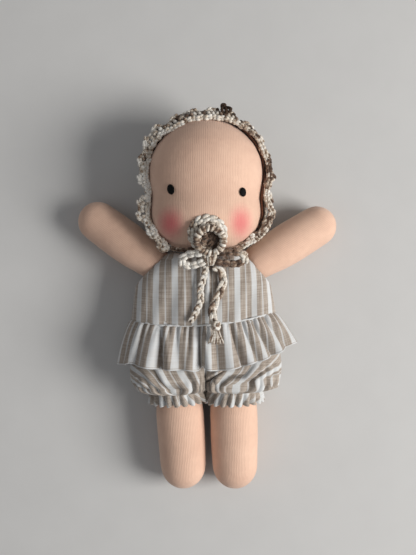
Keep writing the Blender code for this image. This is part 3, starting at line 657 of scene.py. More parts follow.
def corners(piece: Piece) -> tuple[Array, Array]:
    """Each point of a mesh, and the point at each corner of its faces."""
    mesh = piece.data
    spots = np.empty(len(mesh.vertices) * 3)
    mesh.vertices.foreach_get("co", spots)
    index = np.empty(len(mesh.loops), dtype=np.int64)
    mesh.loops.foreach_get("vertex_index", index)
    return spots.reshape(-1, 3), index


def move(piece: Piece, spots: Array) -> None:
    """Write new places for a mesh's points."""
    piece.data.vertices.foreach_set("co", spots.reshape(-1))
    piece.data.update()


def face_corners(piece: Piece) -> tuple[Array, Array]:
    """Each face's first corner, and how many corners it has."""
    made = []
    for key in ("loop_start", "loop_total"):
        numbers = np.empty(len(piece.data.polygons), dtype=np.int64)
        piece.data.polygons.foreach_get(key, numbers)
        made.append(numbers)
    return tuple(made)


def wrap(piece: Piece, round_and_along: Callable, size: float) -> None:
    """Lay cloth round a closed form, with its seam where the turn starts again.

    Args:
        piece: the form.
        round_and_along: from points to turns in radians and metres along.
        size: how wide one radian of cloth is.
    """
    spots, index = corners(piece)
    turn, along = round_and_along(spots)
    turn = turn[index]
    starts, totals = face_corners(piece)
    first = np.repeat(turn[starts], totals)
    turn = turn - math.tau * np.round((turn - first) / math.tau)
    lay(piece, np.stack((turn * size, along[index]), -1))


def dress(piece: Piece, material: Material) -> Piece:
    """Give a piece one material all over."""
    piece.data.materials.clear()
    piece.data.materials.append(material)
    for face in piece.data.polygons:
        face.material_index = 0
    return piece


def outline(
    name: str, stations: Sequence[tuple[Vector, float, float]], sides: int, place: Matrix
) -> Piece:
    """A closed form extruded ring by ring up its own Z, then put in its place.

    Args:
        name: the form's name.
        stations: for each ring its middle, half its width and half its depth.
        sides: how many sides the ring has.
        place: the turn and the shift that take it to where it lies.

    Returns:
        The form, each end closed by one point.
    """
    let_go()
    middle, wide, deep = stations[0]
    bpy.ops.mesh.primitive_circle_add(vertices=sides, radius=1.0, fill_type="NOTHING")
    bpy.ops.object.mode_set(mode="EDIT")
    bpy.ops.transform.resize(value=(wide, deep, 1.0), center_override=(0, 0, 0))
    bpy.ops.transform.translate(value=middle)
    bpy.ops.mesh.edge_face_add()
    bpy.ops.mesh.poke()
    bpy.ops.mesh.select_all(action="DESELECT")
    bpy.ops.mesh.select_non_manifold(extend=False)
    for before, (spot, width, depth) in zip(stations, stations[1:]):
        step = spot - before[0]
        bpy.ops.mesh.extrude_region_move(TRANSFORM_OT_translate={"value": step})
        size = (width / before[1], depth / before[2], 1.0)
        bpy.ops.transform.resize(value=size, center_override=spot)
    bpy.ops.mesh.edge_face_add()
    bpy.ops.mesh.poke()
    bpy.ops.mesh.select_all(action="SELECT")
    bpy.ops.mesh.normals_make_consistent(inside=False)
    form = put_down(name)
    form.data.transform(place)
    form.data.update()
    return form


@dataclass
class Stuffing:
    """How hard a cloth skin is packed with wool, and how it is made to swell."""

    voxel: float = 0.0021
    pressure: float = 4.0
    frames: int = 20
    scale: float = 8.0
    cap: float = 0.0012
    fill: float = 0.8

    def pack(self, form: Piece, held: Optional[Callable], floor: float) -> None:
        """Swell a slightly smaller form with cloth simulation.

        Args:
            form: the closed form, which is changed.
            held: from the points to a mask of those that stay, such as a sewn end.
            floor: the level that nothing goes below.
        """
        take(form)
        form.data.remesh_voxel_size = self.voxel
        form.data.remesh_voxel_adaptivity = 0.0
        bpy.ops.object.voxel_remesh()
        modify(form, "SMOOTH", iterations=4, factor=0.5)
        start, _ = corners(form)
        self._swell(form, start, held)
        modify(form, "SUBSURF", levels=1, render_levels=1)
        spots, _ = corners(form)
        spots[:, 2] = np.maximum(spots[:, 2], floor)
        move(form, spots)
        form.data.shade_smooth()

    def _swell(self, form: Piece, start: Array, held: Optional[Callable]) -> None:
        """Run the cloth for a few frames at a larger size and cap how far it went."""
        move(form, start * self.scale)
        cloth = form.modifiers.new("cloth", "CLOTH")
        settings = cloth.settings
        settings.quality = 5
        settings.mass = 0.3
        settings.tension_stiffness = settings.compression_stiffness = 15.0
        settings.bending_stiffness = 0.5
        settings.use_pressure = True
        settings.uniform_pressure_force = self.pressure
        settings.effector_weights.gravity = 0.0
        if held is not None:
            group = form.vertex_groups.new(name="held")
            group.add(np.nonzero(held(start))[0].tolist(), 1.0, "REPLACE")
            settings.vertex_group_mass = group.name
        cloth.point_cache.frame_start = 1
        cloth.point_cache.frame_end = self.frames
        scene = bpy.context.scene
        for step in range(1, self.frames + 1):
            scene.frame_set(step)
        take(form)
        bpy.ops.object.modifier_apply(modifier=cloth.name)
        scene.frame_set(1)
        form.vertex_groups.clear()
        spots, _ = corners(form)
        moved = spots / self.scale - start
        far = np.linalg.norm(moved, axis=1, keepdims=True)
        moved *= np.minimum(1.0, self.cap / np.maximum(far, 1e-9))
        move(form, start + moved)


class Skein:
    """A length of yarn that gathers its strands into one mesh."""

    TIP = 0.35

    def __init__(self, seed: int) -> None:
        """Start with no strands and its own chance numbers."""
        self.chance = random.Random(seed)
        self.points: list[Array] = []
        self.faces: list[tuple[int, ...]] = []
        self.cloth: list[Array] = []
        self.dye: list[float] = []
        self.count = 0

    def near(self, size: float) -> float:
        """A small chance number either side of nothing."""
        return self.chance.uniform(-size, size)

    def strand(
        self, points: Sequence[Point], radius: float, dye: float, sides: int = 6, ends: float = 0.55
    ) -> None:
        """Lay one strand.

        Args:
            points: the points of its middle line.
            radius: its radius where it is fullest.
            dye: where it starts on the dye's ramp, 0 dark and 1 cream.
            sides: how many sides it has.
            ends: how thin its ends are, as a share of the radius.
        """
        points = np.array([tuple(point) for point in points])
        count = len(points)
        ahead = np.gradient(points, axis=0)
        ahead /= np.maximum(np.linalg.norm(ahead, axis=1, keepdims=True), TINY)
        side = np.cross(ahead[0], (0.0, 0.0, 1.0))
        if np.linalg.norm(side) < 0.2:
            side = np.cross(ahead[0], (1.0, 0.0, 0.0))
        share = np.sin(np.linspace(0, math.pi, count)) ** 0.6
        full = radius * (ends + (1 - ends) * share)
        turns = np.arange(sides) * math.tau / sides
        lengths = run_of(points)
        rings = []
        for n in range(count):
            side = side - ahead[n] * side.dot(ahead[n])
            side /= max(np.linalg.norm(side), TINY)
            up = np.cross(side, ahead[n])
            ring = np.outer(np.cos(turns), side) + np.outer(np.sin(turns), up)
            rings.append(points[n] + ring * full[n])
        tip = radius * self.TIP
        tips = np.array((points[0] - ahead[0] * tip, points[-1] + ahead[-1] * tip))
        base = self.count
        self.points.append(np.concatenate((*rings, tips)))
        for n in range(count - 1):
            for k in range(sides):
                m = (k + 1) % sides
                a, b = base + n * sides, base + (n + 1) * sides
                self.faces.append((a + k, a + m, b + m, b + k))
                u, w = k / sides, (k + 1) / sides
                low, high = lengths[n], lengths[n + 1]
                self.cloth.append(np.array(((u, low), (w, low), (w, high), (u, high))))
        last = base + (count - 1) * sides
        first_tip = base + count * sides
        for k in range(sides):
            m = (k + 1) % sides
            self.faces.append((base + m, base + k, first_tip))
            self.faces.append((last + k, last + m, first_tip + 1))
            for at_end in (0.0, lengths[-1]):
                self.cloth.append(np.full((3, 2), at_end))
        self.dye += [dye] * (count * sides + 2)
        self.count += count * sides + 2

    def leaf(
        self, start: Vector, end: Vector, bulge: Vector, radius: float, dye: float,
        steps: int = 5, sides: int = 6,
    ) -> None:
        """One leg of a stitch: a strand from start to end that bulges aside.

        Args:
            start, end: its two ends.
            bulge: how far its middle stands off the straight line.
            radius: its radius where it is fullest.
            dye: its place on the dye's ramp.
            steps: how many rings it has.
            sides: how many sides it has.
        """
        turns = np.linspace(0, 1, steps)[:, None]
        a, b, c = np.array(start), np.array(end), np.array(bulge)
        line = a + (b - a) * turns + c * np.sin(turns * math.pi)
        self.strand(line, radius, dye, sides)

    def stitch(
        self, place: Vector, ahead: Vector, out: Vector, pitch: float, wide: float, dye: float,
        fat: float = 1.0, steps: int = 5,
    ) -> None:
        """A crochet stitch seen from above: a V of two legs that opens ahead.

        Args:
            place: the bottom of the V.
            ahead: the direction of the row.
            out: straight out of the surface.
            pitch: how long the stitch is.
            wide: half the width of the V.
            dye: where the yarn is on its ramp.
            fat: how thick the yarn is, as a share of the usual.
            steps: how many rings each leg has.
        """
        across = out.cross(ahead).normalized()
        radius = wide * 0.56 * fat
        for sign in (-1, 1):
            slip = self.near(0.08) * pitch
            aside = across * sign * wide
            start = place + aside * 0.10 - out * radius * 0.5
            end = place + ahead * (pitch * 1.30 + slip) + aside * 0.46 - out * radius * 0.2
            bulge = aside * 0.22 + out * radius * 0.75
            self.leaf(start, end, bulge, radius, dye + self.near(0.12), steps)

    def make(self, name: str) -> Piece:
        """Turn the skein into a piece with its cloth map and its dye."""
        piece = new_mesh(name, np.concatenate(self.points), self.faces)
        lay(piece, np.concatenate(self.cloth))
        dye_points(piece, self.dye)
        return piece


def smooth_line(points: Sequence[Vector], count: int) -> list[Vector]:
    """A smooth curve through points, read off at equal distances.

    Args:
        points: the places that it goes through.
        count: how many points to give back.

    Returns:
        The points of the curve.
    """
    parts = 12
    ends = [points[0] * 2 - points[1], *points, points[-1] * 2 - points[-2]]
    fine = []
    for n in range(1, len(ends) - 2):
        a, b, c, d = ends[n - 1 : n + 3]
        square, cube = 2 * a - 5 * b + 4 * c - d, 3 * b - a - 3 * c + d
        for k in range(parts):
            t = k / parts
            fine.append((2 * b + (c - a) * t + square * t**2 + cube * t**3) / 2)
    fine.append(points[-1])
    lengths = np.concatenate(([0.0], np.cumsum([(b - a).length for a, b in zip(fine, fine[1:])])))
    wanted = np.linspace(0, lengths[-1], count)
    axes = [np.interp(wanted, lengths, axis) for axis in zip(*fine)]
    return [Vector(spot) for spot in zip(*axes)]


def run_of(points: Array) -> Array:
    """How far along a line each of its points is."""
    return np.concatenate(([0.0], np.cumsum(np.linalg.norm(np.diff(points, axis=0), axis=1))))


def squared(wave: Array, power: object) -> Array:
    """A sine or cosine that lingers at its ends, as round a cushion."""
    return np.sign(wave) * np.abs(wave) ** power


def length_of(points: Sequence[Vector]) -> float:
    """How long a line of points is."""
    return sum((b - a).length for a, b in zip(points, points[1:]))


# ---- camera and light


@dataclass
class Studio:
    """The camera straight above the doll, a pale floor and soft light from its upper right."""

    height: float = 0.5400
    aside: Point = (0.00049, 0.01530)
    lens: float = 50.0
    floor_size: float = 6.0

    def stand(self) -> None:
        """Put up the camera."""
        data = bpy.data.cameras.new("camera")
        data.lens = self.lens
        data.sensor_width = 36.0
        data.clip_start = 0.01
        camera = bring("camera", data)
        camera.location = (*self.aside, self.height)
        bpy.context.scene.camera = camera
        bpy.context.scene.view_settings.view_transform = "Standard"

    def floor(self) -> None:
        """Lay the pale floor."""
        let_go()
        bpy.ops.mesh.primitive_plane_add(size=self.floor_size, location=(0, 0, 0))
        piece = put_down("floor")
        board = Board("pale_floor")
        grain = board.noise(board.place(), 40.0, 4.0)
        colour = board.mix(grain, (0.58, 0.575, 0.565), (0.62, 0.615, 0.605))
        dress(piece, board.surface(Base_Color=colour, Roughness=0.9, Specular_IOR_Level=0.1))

    def lamp(self, name: str, place: Point, size: float, power: float, colour: Colour) -> None:
        """Hang one soft square lamp that faces the doll.

        Args:
            name: its name.
            place: where it hangs.
            size: the length of its side.
            power: its watts.
            colour: the colour of its light.
        """
        data = bpy.data.lights.new(name, "AREA")
        data.shape = "SQUARE"
        data.size = size
        data.energy = power
        data.color = colour
        lamp = bring(name, data)
        lamp.location = place
        aim = Vector((0.0, 0.0, 0.03)) - Vector(place)
        lamp.rotation_euler = aim.to_track_quat("-Z", "Y").to_euler()

    def light(self) -> None:
        """Hang the lamps and fill the shade from all round."""
        self.lamp("window", (1.20, -0.20, 0.88), 0.75, 25.0, (1.0, 0.985, 0.96))
        self.lamp("fill", (-0.7, 0.0, 1.4), 1.2, 1.6, (0.95, 0.97, 1.0))
        world = bpy.data.worlds.new("studio")
        bpy.context.scene.world = world
        world.use_nodes = True
        shade = world.node_tree.nodes["Background"].inputs
        shade["Color"].default_value = (0.96, 0.97, 1.0, 1.0)
        shade["Strength"].default_value = 0.20


# ---- ties and bow


@dataclass
class Ties:
    """The crocheted ties of the bonnet: the cord under the chin, the bow and its tails.

    The routes are in millimetres from the neck seam.
    """

    cord: float = 0.0046
    run: float = 0.0028
    fall: float = 0.018
    neck_run: tuple = (
        (-22.9, 5.1, 42.4), (-19, 4, 44), (-13.5, 3.6, 46.2), (-8, 3.9, 47.2), (-3.5, 3.6, 47.8),
        (0.2, 3.2, 48.4), (2.8, 3.1, 48.7), (5.2, 3.3, 48.6), (7.6, 3.5, 48), (11, 3.6, 47),
        (15.4, 3.7, 45.4), (19.6, 4.1, 43.8), (22.9, 5.1, 42.4),
    )
    left_loop: tuple = (
        (-1.3, 1, 51.4), (-5, 1.5, 51.2), (-9.5, 1.1, 50.4), (-13.8, -0.6, 49.2),
        (-15.9, -3.4, 48.4), (-14, -6.2, 48), (-9.5, -6.6, 48.4), (-5, -5.4, 49.6),
        (-1.3, -4, 50.6),
    )
    right_loop: tuple = (
        (6.9, 1, 51.4), (11, 1.6, 51.2), (16.5, 2, 50.6), (22, 1.5, 49.6), (25.8, -0.6, 48.6),
        (25.2, -3.6, 48), (20.8, -5.2, 48), (15, -5.4, 48.6), (10.5, -4.9, 49.8), (6.9, -4, 50.6),
    )
    left_tail: tuple = (
        (0.5, -6.9, 46.8), (-0.4, -10.6, 45.2), (-1.7, -15.6, 44.3), (-3.4, -21.5, 44),
        (-3.2, -28.5, 44), (-5.2, -33.8, 44), (-7.6, -39, 44.2), (-9.8, -42.5, 44.8),
    )
    right_tail: tuple = (
        (5.5, -6.9, 46.8), (9.2, -9.6, 45.4), (11.2, -14, 44.4), (10.4, -20, 44), (7.8, -26.2, 44),
        (5.2, -32.2, 44), (4.2, -38, 44.8), (5.6, -42.5, 47.8),
    )
    knot: Point = (0.0028, -0.0019, 0.0503)
    knot_size: Point = (0.0076, 0.0086, 0.0080)
    end_knot: Point = (0.0066, -0.0446, 0.0497)
    end_radius: float = 0.0036
    tassel: Point = (0.0078, 0.0082, 0.0035)

    @staticmethod
    def chain(
        name: str, places: tuple, wide: float, dye: Callable[[float], float], seed: int,
        pitch: float = 0.0046,
    ) -> tuple[Piece, list[Vector]]:
        """A cord of chain stitches along a route.

        Args:
            name: the piece's name.
            places: the route's own points.
            wide: the cord's diameter.
            dye: from the share along the cord to the yarn's place on its ramp.
            seed: where its chance numbers start.
            pitch: the length of a stitch.

        Returns:
            The cord and the line that it follows.
        """
        line = route(places)
        count = max(4, round(length_of(smooth_line(line, 80)) / pitch))
        spots = smooth_line(line, count + 1)
        fine = smooth_line(line, 24)
        skein = Skein(seed)
        half = wide / 2
        for n in range(count):
            ahead = (spots[n + 1] - spots[n]).normalized()
            step = (spots[n + 1] - spots[n]).length
            out = (UP - ahead * ahead.z).normalized()
            across = out.cross(ahead)
            tone = dye(n / max(1, count - 1))
            base = spots[n] + out * half * 0.30
            skein.stitch(base, ahead, out, step, half, tone, 1.1)
            # The side and bottom strands are dyed darker than the V on top: painted shade beneath
            # it.
            for sign in (-1, 1):
                aside = across * sign * half
                start = spots[n] + aside * 0.30 - out * half * 0.45
                end = start + ahead * step * 1.1
                skein.leaf(start, end, aside * 0.15, half * 0.45, tone - 0.25)
            low = spots[n] - out * half * 0.55
            skein.leaf(low, low + ahead * step, -out * half * 0.08, half * 0.36, tone - 0.2)
        return skein.make(name), fine

    @staticmethod
    def plait(
        name: str, places: tuple, wide: float, wave: float, tones: tuple, seed: int
    ) -> tuple[Piece, list[Vector]]:
        """Three strands plaited along a route.

        Args:
            name: the piece's name.
            places: the route's own points.
            wide: the plait's width.
            wave: how far a strand runs before it is back on its side.
            tones: each strand's place on the dye's ramp.
            seed: where its chance numbers start.

        Returns:
            The plait and the line that it follows.
        """
        line = route(places)
        fine = smooth_line(line, 24)
        length = length_of(fine)
        spots = smooth_line(line, max(30, round(length / wave * 16)))
        skein = Skein(seed)
        last = len(spots) - 1
        for k, tone in enumerate(tones):
            middle = []
            for n, spot in enumerate(spots):
                ahead = (spots[min(n + 1, last)] - spots[max(n - 1, 0)]).normalized()
                out = (UP - ahead * ahead.z).normalized()
                turn = math.tau * (n / last * length / wave + k / len(tones))
                aside = out.cross(ahead) * wide * 0.27 * math.sin(turn)
                middle.append(spot + aside + out * wide * 0.15 * math.sin(2 * turn))
            for sign in (-1, 1):
                shift = Vector((wide * 0.07 * sign, 0, 0))
                radius = wide * (0.185 + skein.near(0.01))
                skein.strand([spot + shift for spot in middle], radius, tone + sign * 0.12, 8, 0.75)
        return skein.make(name), fine

    def make(self, yarn: Material) -> None:
        """Crochet the cords, and tie the bow and its knots."""
        self.loops(yarn, self.bow_knot(yarn))
        self.tails(yarn, self.tail_end(yarn))

    def loops(self, yarn: Material, knot: Piece) -> None:
        """The cord under the chin and the bow's loops."""
        around = self.chain("neck_tie", self.neck_run, self.run, lambda t: 0.28, 3, 0.0036)
        left = self.chain("bow_loop_left_chain", self.left_loop, self.cord, lambda t: 0.95, 5)
        right = self.chain("bow_loop_right_chain", self.right_loop, self.cord, self.right_dye, 7)
        for (piece, line), nodes, wide, others in (
            (around, ("tie_run_left", "tie_run_right"), self.run, []),
            (left, ("bow_loop_left",), self.cord, [knot]),
            (right, ("bow_loop_right",), self.cord, []),
        ):
            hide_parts(*nodes)
            dress(piece, yarn)
            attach(piece, "head")
            self.declare(piece, line, wide, "object", others)

    def tails(self, yarn: Material, trimmings: list[Piece]) -> None:
        """The two plaited tails, the right one with its knot and tassel."""
        dyes = (0.72, 0.45, 0.78), (0.74, 0.30, 0.60)
        wide = self.cord * 1.25
        left = self.plait("tie_tail_left_plait", self.left_tail, self.cord, 0.0120, dyes[0], 9)
        right = self.plait("tie_tail_right_plait", self.right_tail, wide, 0.0230, dyes[1], 11)
        for (piece, line), node, end, others in (
            (left, "tie_tail_left", "bare", []),
            (right, "tie_tail_right", "knot", trimmings),
        ):
            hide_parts(node)
            dress(piece, yarn)
            line[0] - Vector((0, self.fall, 0))
            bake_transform(piece)
            self.declare(piece, line, self.cord, end, others)

    @staticmethod
    def declare(
        piece: Piece, line: list[Vector], wide: float, end: str, others: list[Piece]
    ) -> None:
        """Measure how long a cord's line is; nothing else is done with it."""
        length_of(line)

    @staticmethod
    def right_dye(share: float) -> float:
        """The right loop is brown near the knot and cream round its outer end."""
        return 0.22 + 0.50 * math.exp(-(((share - 0.45) / 0.15) ** 2))

    def bow_knot(self, yarn: Material) -> Piece:
        """Strands wrapped over the middle of the bow."""
        skein = Skein(21)
        middle = at(*self.knot)
        wide, tall, deep = (size / 2 for size in self.knot_size)
        for n, tone in enumerate((0.35, 0.90, 0.38, 0.22, 0.60)):
            place = n - 2
            x = middle.x + wide * place / 2.7
            lean = place * 0.0006
            high = deep * 0.74 * (1 - 0.14 * abs(place))
            turns = np.linspace(-0.55, math.pi + 0.55, 13)
            line = [
                (x + lean * c, middle.y + tall * 0.86 * c, middle.z + high * s)
                for c, s in zip(np.cos(turns), np.sin(turns))
            ]
            skein.strand(line, 0.00118, tone, ends=0.8)
        filled = 5
        for n in range(filled):
            turn = math.tau * n / filled
            around = Vector((math.cos(turn) * wide * 0.4, math.sin(turn) * tall * 0.45, -0.0008))
            spot = middle + around
            skein.leaf(spot, spot + Vector((0.0012, 0.001, 0)), UP * 0.0008, 0.0019, 0.3)
        piece = dress(skein.make("bow_knot_wraps"), yarn)
        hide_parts("bow_knot")
        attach(piece, "head")
        return piece

    def tail_end(self, yarn: Material) -> list[Piece]:
        """The knot and the tassel that end the longer tail."""
        middle = at(*self.end_knot)
        skein = Skein(23)
        radius = self.end_radius
        for n, (tilt, tone) in enumerate(((0.2, 0.75), (1.25, 0.5), (2.2, 0.82), (0.75, 0.35))):
            axis = Matrix.Rotation(tilt, 3, "Z") @ Matrix.Rotation(0.5 + 0.4 * n, 3, "X")
            turns = np.linspace(0, math.tau * 0.94, 14)
            line = [middle + axis @ arrow(t) * radius * 0.66 for t in turns]
            skein.strand(line, radius * 0.36, tone, ends=0.8)
        knot = dress(skein.make("tail_knot_wraps"), yarn)
        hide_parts("tail_knot")
        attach(knot, "torso")
        skein = Skein(25)
        wide, long, deep = self.tassel
        top = middle + Vector((0, -radius * 0.75, 0))
        across = 11
        half = across // 2
        for n in range(2 * across):
            spread = (n % across - half) / half
            layer = -1 if n < across else 1
            line = [
                (top.x + spread * (0.0012 + wide * 0.46 * t) + skein.near(0.0002),
                 top.y - (long + 0.0006 + skein.near(0.0008)) * t * (1 - 0.08 * abs(spread)),
                 top.z + layer * deep * 0.24 * math.sin(math.pi * (0.2 + 0.7 * t)) - 0.0012 * t)
                for t in np.linspace(0, 1, 7)
            ]
            skein.strand(line, 0.00052, 0.55 + skein.near(0.35), sides=5, ends=0.8)
        tassel = dress(skein.make("tail_tassel_threads"), yarn)
        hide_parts("tail_tassel")
        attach(tassel, "torso")
        return [knot, tassel]


# ---- head


@dataclass
class Head:
    """The stuffed head with its eyes and rouge."""

    width: float = 0.0750
    depth: float = 0.0640
    height: float = 0.0910
    neck_level: float = 0.0290
    middle_level: float = 0.0348
    tied: float = 0.0045
    pad: float = 0.0018
    sides: int = 40
    shares: tuple = (
        (0.004, 0.30, 0.33, 0.00), (0.020, 0.34, 0.37, 0.06), (0.042, 0.46, 0.47, 0.18),
        (0.080, 0.63, 0.62, 0.40), (0.135, 0.80, 0.77, 0.68), (0.205, 0.915, 0.90, 0.90),
        (0.285, 0.965, 0.965, 1.00), (0.345, 0.962, 0.965, 1.00), (0.405, 0.942, 0.945, 1.00),
        (0.455, 0.955, 0.955, 1.00), (0.530, 0.992, 0.990, 1.00), (0.610, 1.000, 1.000, 1.00),
        (0.700, 0.965, 0.965, 1.00), (0.790, 0.865, 0.865, 1.00), (0.870, 0.700, 0.700, 1.00),
        (0.935, 0.500, 0.500, 1.00), (0.980, 0.260, 0.260, 1.00),
    )
    cheeks: tuple = (
        Rouge((-0.0222, 0.0197, 0.058), (0.0122, 0.0145), (0.620, 0.100, 0.120), 0.85),
        Rouge((0.0221, 0.0203, 0.058), (0.0105, 0.0148), (0.700, 0.135, 0.150), 0.82),
    )

    def stations(self) -> list[tuple[Vector, float, float]]:
        """The head's rings, up its own Z."""
        rings = []
        for height, wide, deep, rise in self.shares:
            level = self.neck_level + (self.middle_level - self.neck_level) * rise
            spot = Vector((0.0, -level, height * self.height))
            rings.append((spot, wide * self.width / 2, deep * self.depth / 2))
        return rings

    def make(self, skin: KnitSkin) -> None:
        """Stuff the head and rouge its cheeks."""
        place = Matrix.Translation((NECK[0], NECK[1], 0)) @ Matrix.Rotation(-math.pi / 2, 4, "X")
        form = outline("head_stuffed", self.stations(), self.sides, place)
        low = NECK[1] + self.tied
        Stuffing(voxel=0.0021, cap=0.0006, pressure=3.0, fill=0.95).pack(
            form, lambda spots: spots[:, 1] < low, floor=0.0028
        )
        self.lay_cloth(form)
        dress(form, skin.make("face_stockinette", self.cheeks))
        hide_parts("head_skin", "head_wool")
        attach(form, "head")

    def lay_cloth(self, form: Piece) -> None:
        """Run the wales straight up the face, and round to a seam behind."""
        middle = at(0, 0, self.middle_level)
        spots, index = corners(form)
        starts, totals = face_corners(form)
        corner = spots[index]
        centre = np.add.reduceat(corner, starts, axis=0) / totals[:, None]
        centre = np.repeat(centre, totals, axis=0)
        reach = self.width / 2 * 1.02
        across = reach * np.arcsin(np.clip((corner[:, 0] - middle.x) / reach, -1, 1))
        side = np.where(centre[:, 0] > middle.x, 1.0, -1.0)
        across = np.where(centre[:, 2] > middle.z, across, side * reach * math.pi - across)
        lay(form, np.stack((across, corner[:, 1]), -1))

    def eyes(self) -> None:
        """Two oval pads of black thread."""
        black = Stitches((0.001, 0.001, 0.001), (0.006, 0.006, 0.007)).make("eye_thread")
        for side, lean, slip, size in (
            (Side.LEFT, 0.70, (0.0010, 0.0008), (0.0057, 0.0072)),
            (Side.RIGHT, 0.10, (0.0007, -0.0007), (0.0052, 0.0058)),
        ):
            name = f"eye_{side.value}"
            middle = sum(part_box(name), Vector()) / 2
            let_go()
            bpy.ops.mesh.primitive_uv_sphere_add(segments=28, ring_count=16, radius=0.5)
            bpy.ops.object.mode_set(mode="EDIT")
            bpy.ops.transform.resize(value=(*size, self.pad), center_override=(0, 0, 0))
            piece = put_down(name + "_pad")
            normal = Vector((middle.x - NECK[0], 0.0, middle.z - self.middle_level)).normalized()
            along = Vector((0, 1, 0))
            axes = Matrix((along.cross(normal), along, normal)).transposed().to_4x4()
            spin = axes @ Matrix.Rotation(lean, 4, "Z")
            shift = Vector((*slip, -slip[0] * normal.x / max(normal.z, 0.2)))
            piece.data.transform(Matrix.Translation(middle + shift) @ spin)
            settle(piece)
            dress(piece, black)
            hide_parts(name)
            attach(piece, "head")


# ---- bonnet


@dataclass
class Bonnet:
    """The crocheted bonnet: rounds of stitches over the back of the head, and its edging.

    The edging's outer and inner lines are in millimetres from the neck seam.
    """

    stitch: float = 0.0042
    edge_level: float = 0.0385
    rim_level: float = 0.0420
    outer: tuple = (
        (-26.8, 2), (-32, 6), (-35.5, 11.5), (-38.5, 17), (-43, 22.5), (-45, 29), (-44.4, 35.2),
        (-40.5, 39.2), (-41.2, 44), (-44, 51), (-44, 58.5), (-42.8, 65), (-40, 72.5), (-37.8, 79),
        (-34.5, 83.2), (-28.5, 85), (-21.5, 89), (-16.5, 92.5), (-8.5, 94.5), (1, 95), (11, 94.5),
        (18, 91.8), (23.5, 88), (29, 84.2), (34, 80), (37.2, 74.5), (39.8, 68), (41.8, 61.5),
        (43.8, 55), (44, 49), (42, 43.5), (42.2, 38.5), (44.2, 33), (44.8, 28.5), (43.2, 23.5),
        (40.2, 18.2), (37.2, 14.2), (32.8, 11.2), (27.2, 7.6), (23.5, 5.2),
    )
    inner: tuple = (
        (-22.5, 5), (-26.2, 9), (-29.8, 13), (-32.5, 18.5), (-34.8, 23), (-36.2, 28.5),
        (-35.6, 33), (-35, 38.5), (-35.6, 44), (-36.6, 50), (-36.7, 56), (-35.5, 62), (-34, 67.5),
        (-31.5, 72.8), (-27.6, 76.8), (-22.2, 79.5), (-16.6, 83), (-9, 86), (-0.4, 87.2),
        (9.3, 87), (17.6, 85), (26.7, 80), (32.2, 76.4), (35.6, 71.6), (38.6, 63.8), (40.5, 57),
        (41, 50.3), (39.5, 43.8), (38.3, 38.5), (39.8, 32.5), (41.4, 28), (40.6, 23), (38.4, 17.4),
        (34.9, 13.2), (30, 9.2), (22.2, 6),
    )
    fans: int = 44
    wave: float = 9.0
    brow: float = 0.0062
    # A dye value below the ramp, which calls up the painted warm reflection inside the bonnet.
    inside_dye: float = -2.0
    # The backing's dark yarn tone, which also serves as painted shade in the gaps between stitches.
    outside_dye: float = 0.26

    def lining(self) -> Piece:
        """The fabric behind the stitches: the yarn's dark tone, which also serves as painted shade
        in the gaps, and a painted warm reflection of the face inside and at its mouth.
        """
        piece = backing("bonnet", "bonnet_lining", 0.0007)
        middle = Vector((0.0, 0.045, self.edge_level))
        mouth = self.edge_level - 0.0012
        tones = []
        for point in piece.data.vertices:
            out = point.normal.dot((point.co - middle).normalized())
            inside = out < 0 or (out < 0.45 and point.co.z > mouth)
            # Inside and at the mouth, the painted warm reflection of the face.
            tones.append(self.inside_dye if inside else self.outside_dye)
        dye_points(piece, tones)
        return piece

    def crown(self) -> Piece:
        """Rows of stitches over the bonnet, each laid where a ray meets the solid."""
        mesh = frame["nodes"]["bonnet"].data
        tree = BVHTree.FromPolygons(
            [v.co.copy() for v in mesh.vertices], [tuple(f.vertices) for f in mesh.polygons]
        )
        low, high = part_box("bonnet")
        back = 0.002
        middle = Vector(((low.x + high.x) / 2, (low.y + high.y) / 2 - back, self.edge_level - back))
        skein = Skein(31)
        rows, far = 15, 0.12
        for row in range(rows):
            polar = math.radians(7 + 86 * row / (rows - 1))
            reach = 0.040 * math.sin(polar)
            count = max(6, round(math.tau * reach / (self.stitch * 0.92)))
            for n in range(count):
                turn = math.tau * (n + 0.5 * (row % 2)) / count
                wide = math.sin(polar)
                long = 1.16 * math.sin(turn) * wide
                ray = Vector((math.cos(turn) * wide, long, -math.cos(polar))).normalized()
                spot, normal, _, _ = tree.ray_cast(middle + ray * far, -ray, far)
                if spot is None or normal.dot(ray) < 0.25 or spot.z > self.edge_level - 0.0015:
                    continue
                around = arrow(turn + math.pi / 2)
                ahead = (around - normal * around.dot(normal)).normalized()
                tone = 0.60 + 0.22 * math.sin(row * 1.7 + turn * 1.3) + skein.near(0.16)
                place = spot - normal * 0.0008 - ahead * self.stitch / 2
                skein.stitch(place, ahead, normal, self.stitch, self.stitch * 0.48, tone, steps=4)
        return skein.make("bonnet_stitches")

    def edging(self) -> Piece:
        """The last rows: a chain along the face, posts, and a scalloped chain outside."""
        steps = self.fans * 4
        raised = []
        for x, y in np.array(self.inner) * MM:
            rise = self.brow * min(1.0, max(0.0, (y - 0.068) / 0.018))
            raised.append(at(x, y, self.rim_level + rise))
        inside = smooth_line(raised, steps + 1)
        edge = [at(x, y, self.rim_level) for x, y in np.array(self.outer) * MM]
        outside = smooth_line(edge, steps + 1)
        skein = Skein(33)
        for n in range(0, steps, 2):
            here, there = inside[n], inside[n + 1]
            ahead = (there - here).normalized()
            out = outside[n] - here
            wide = out.length
            out.normalize()
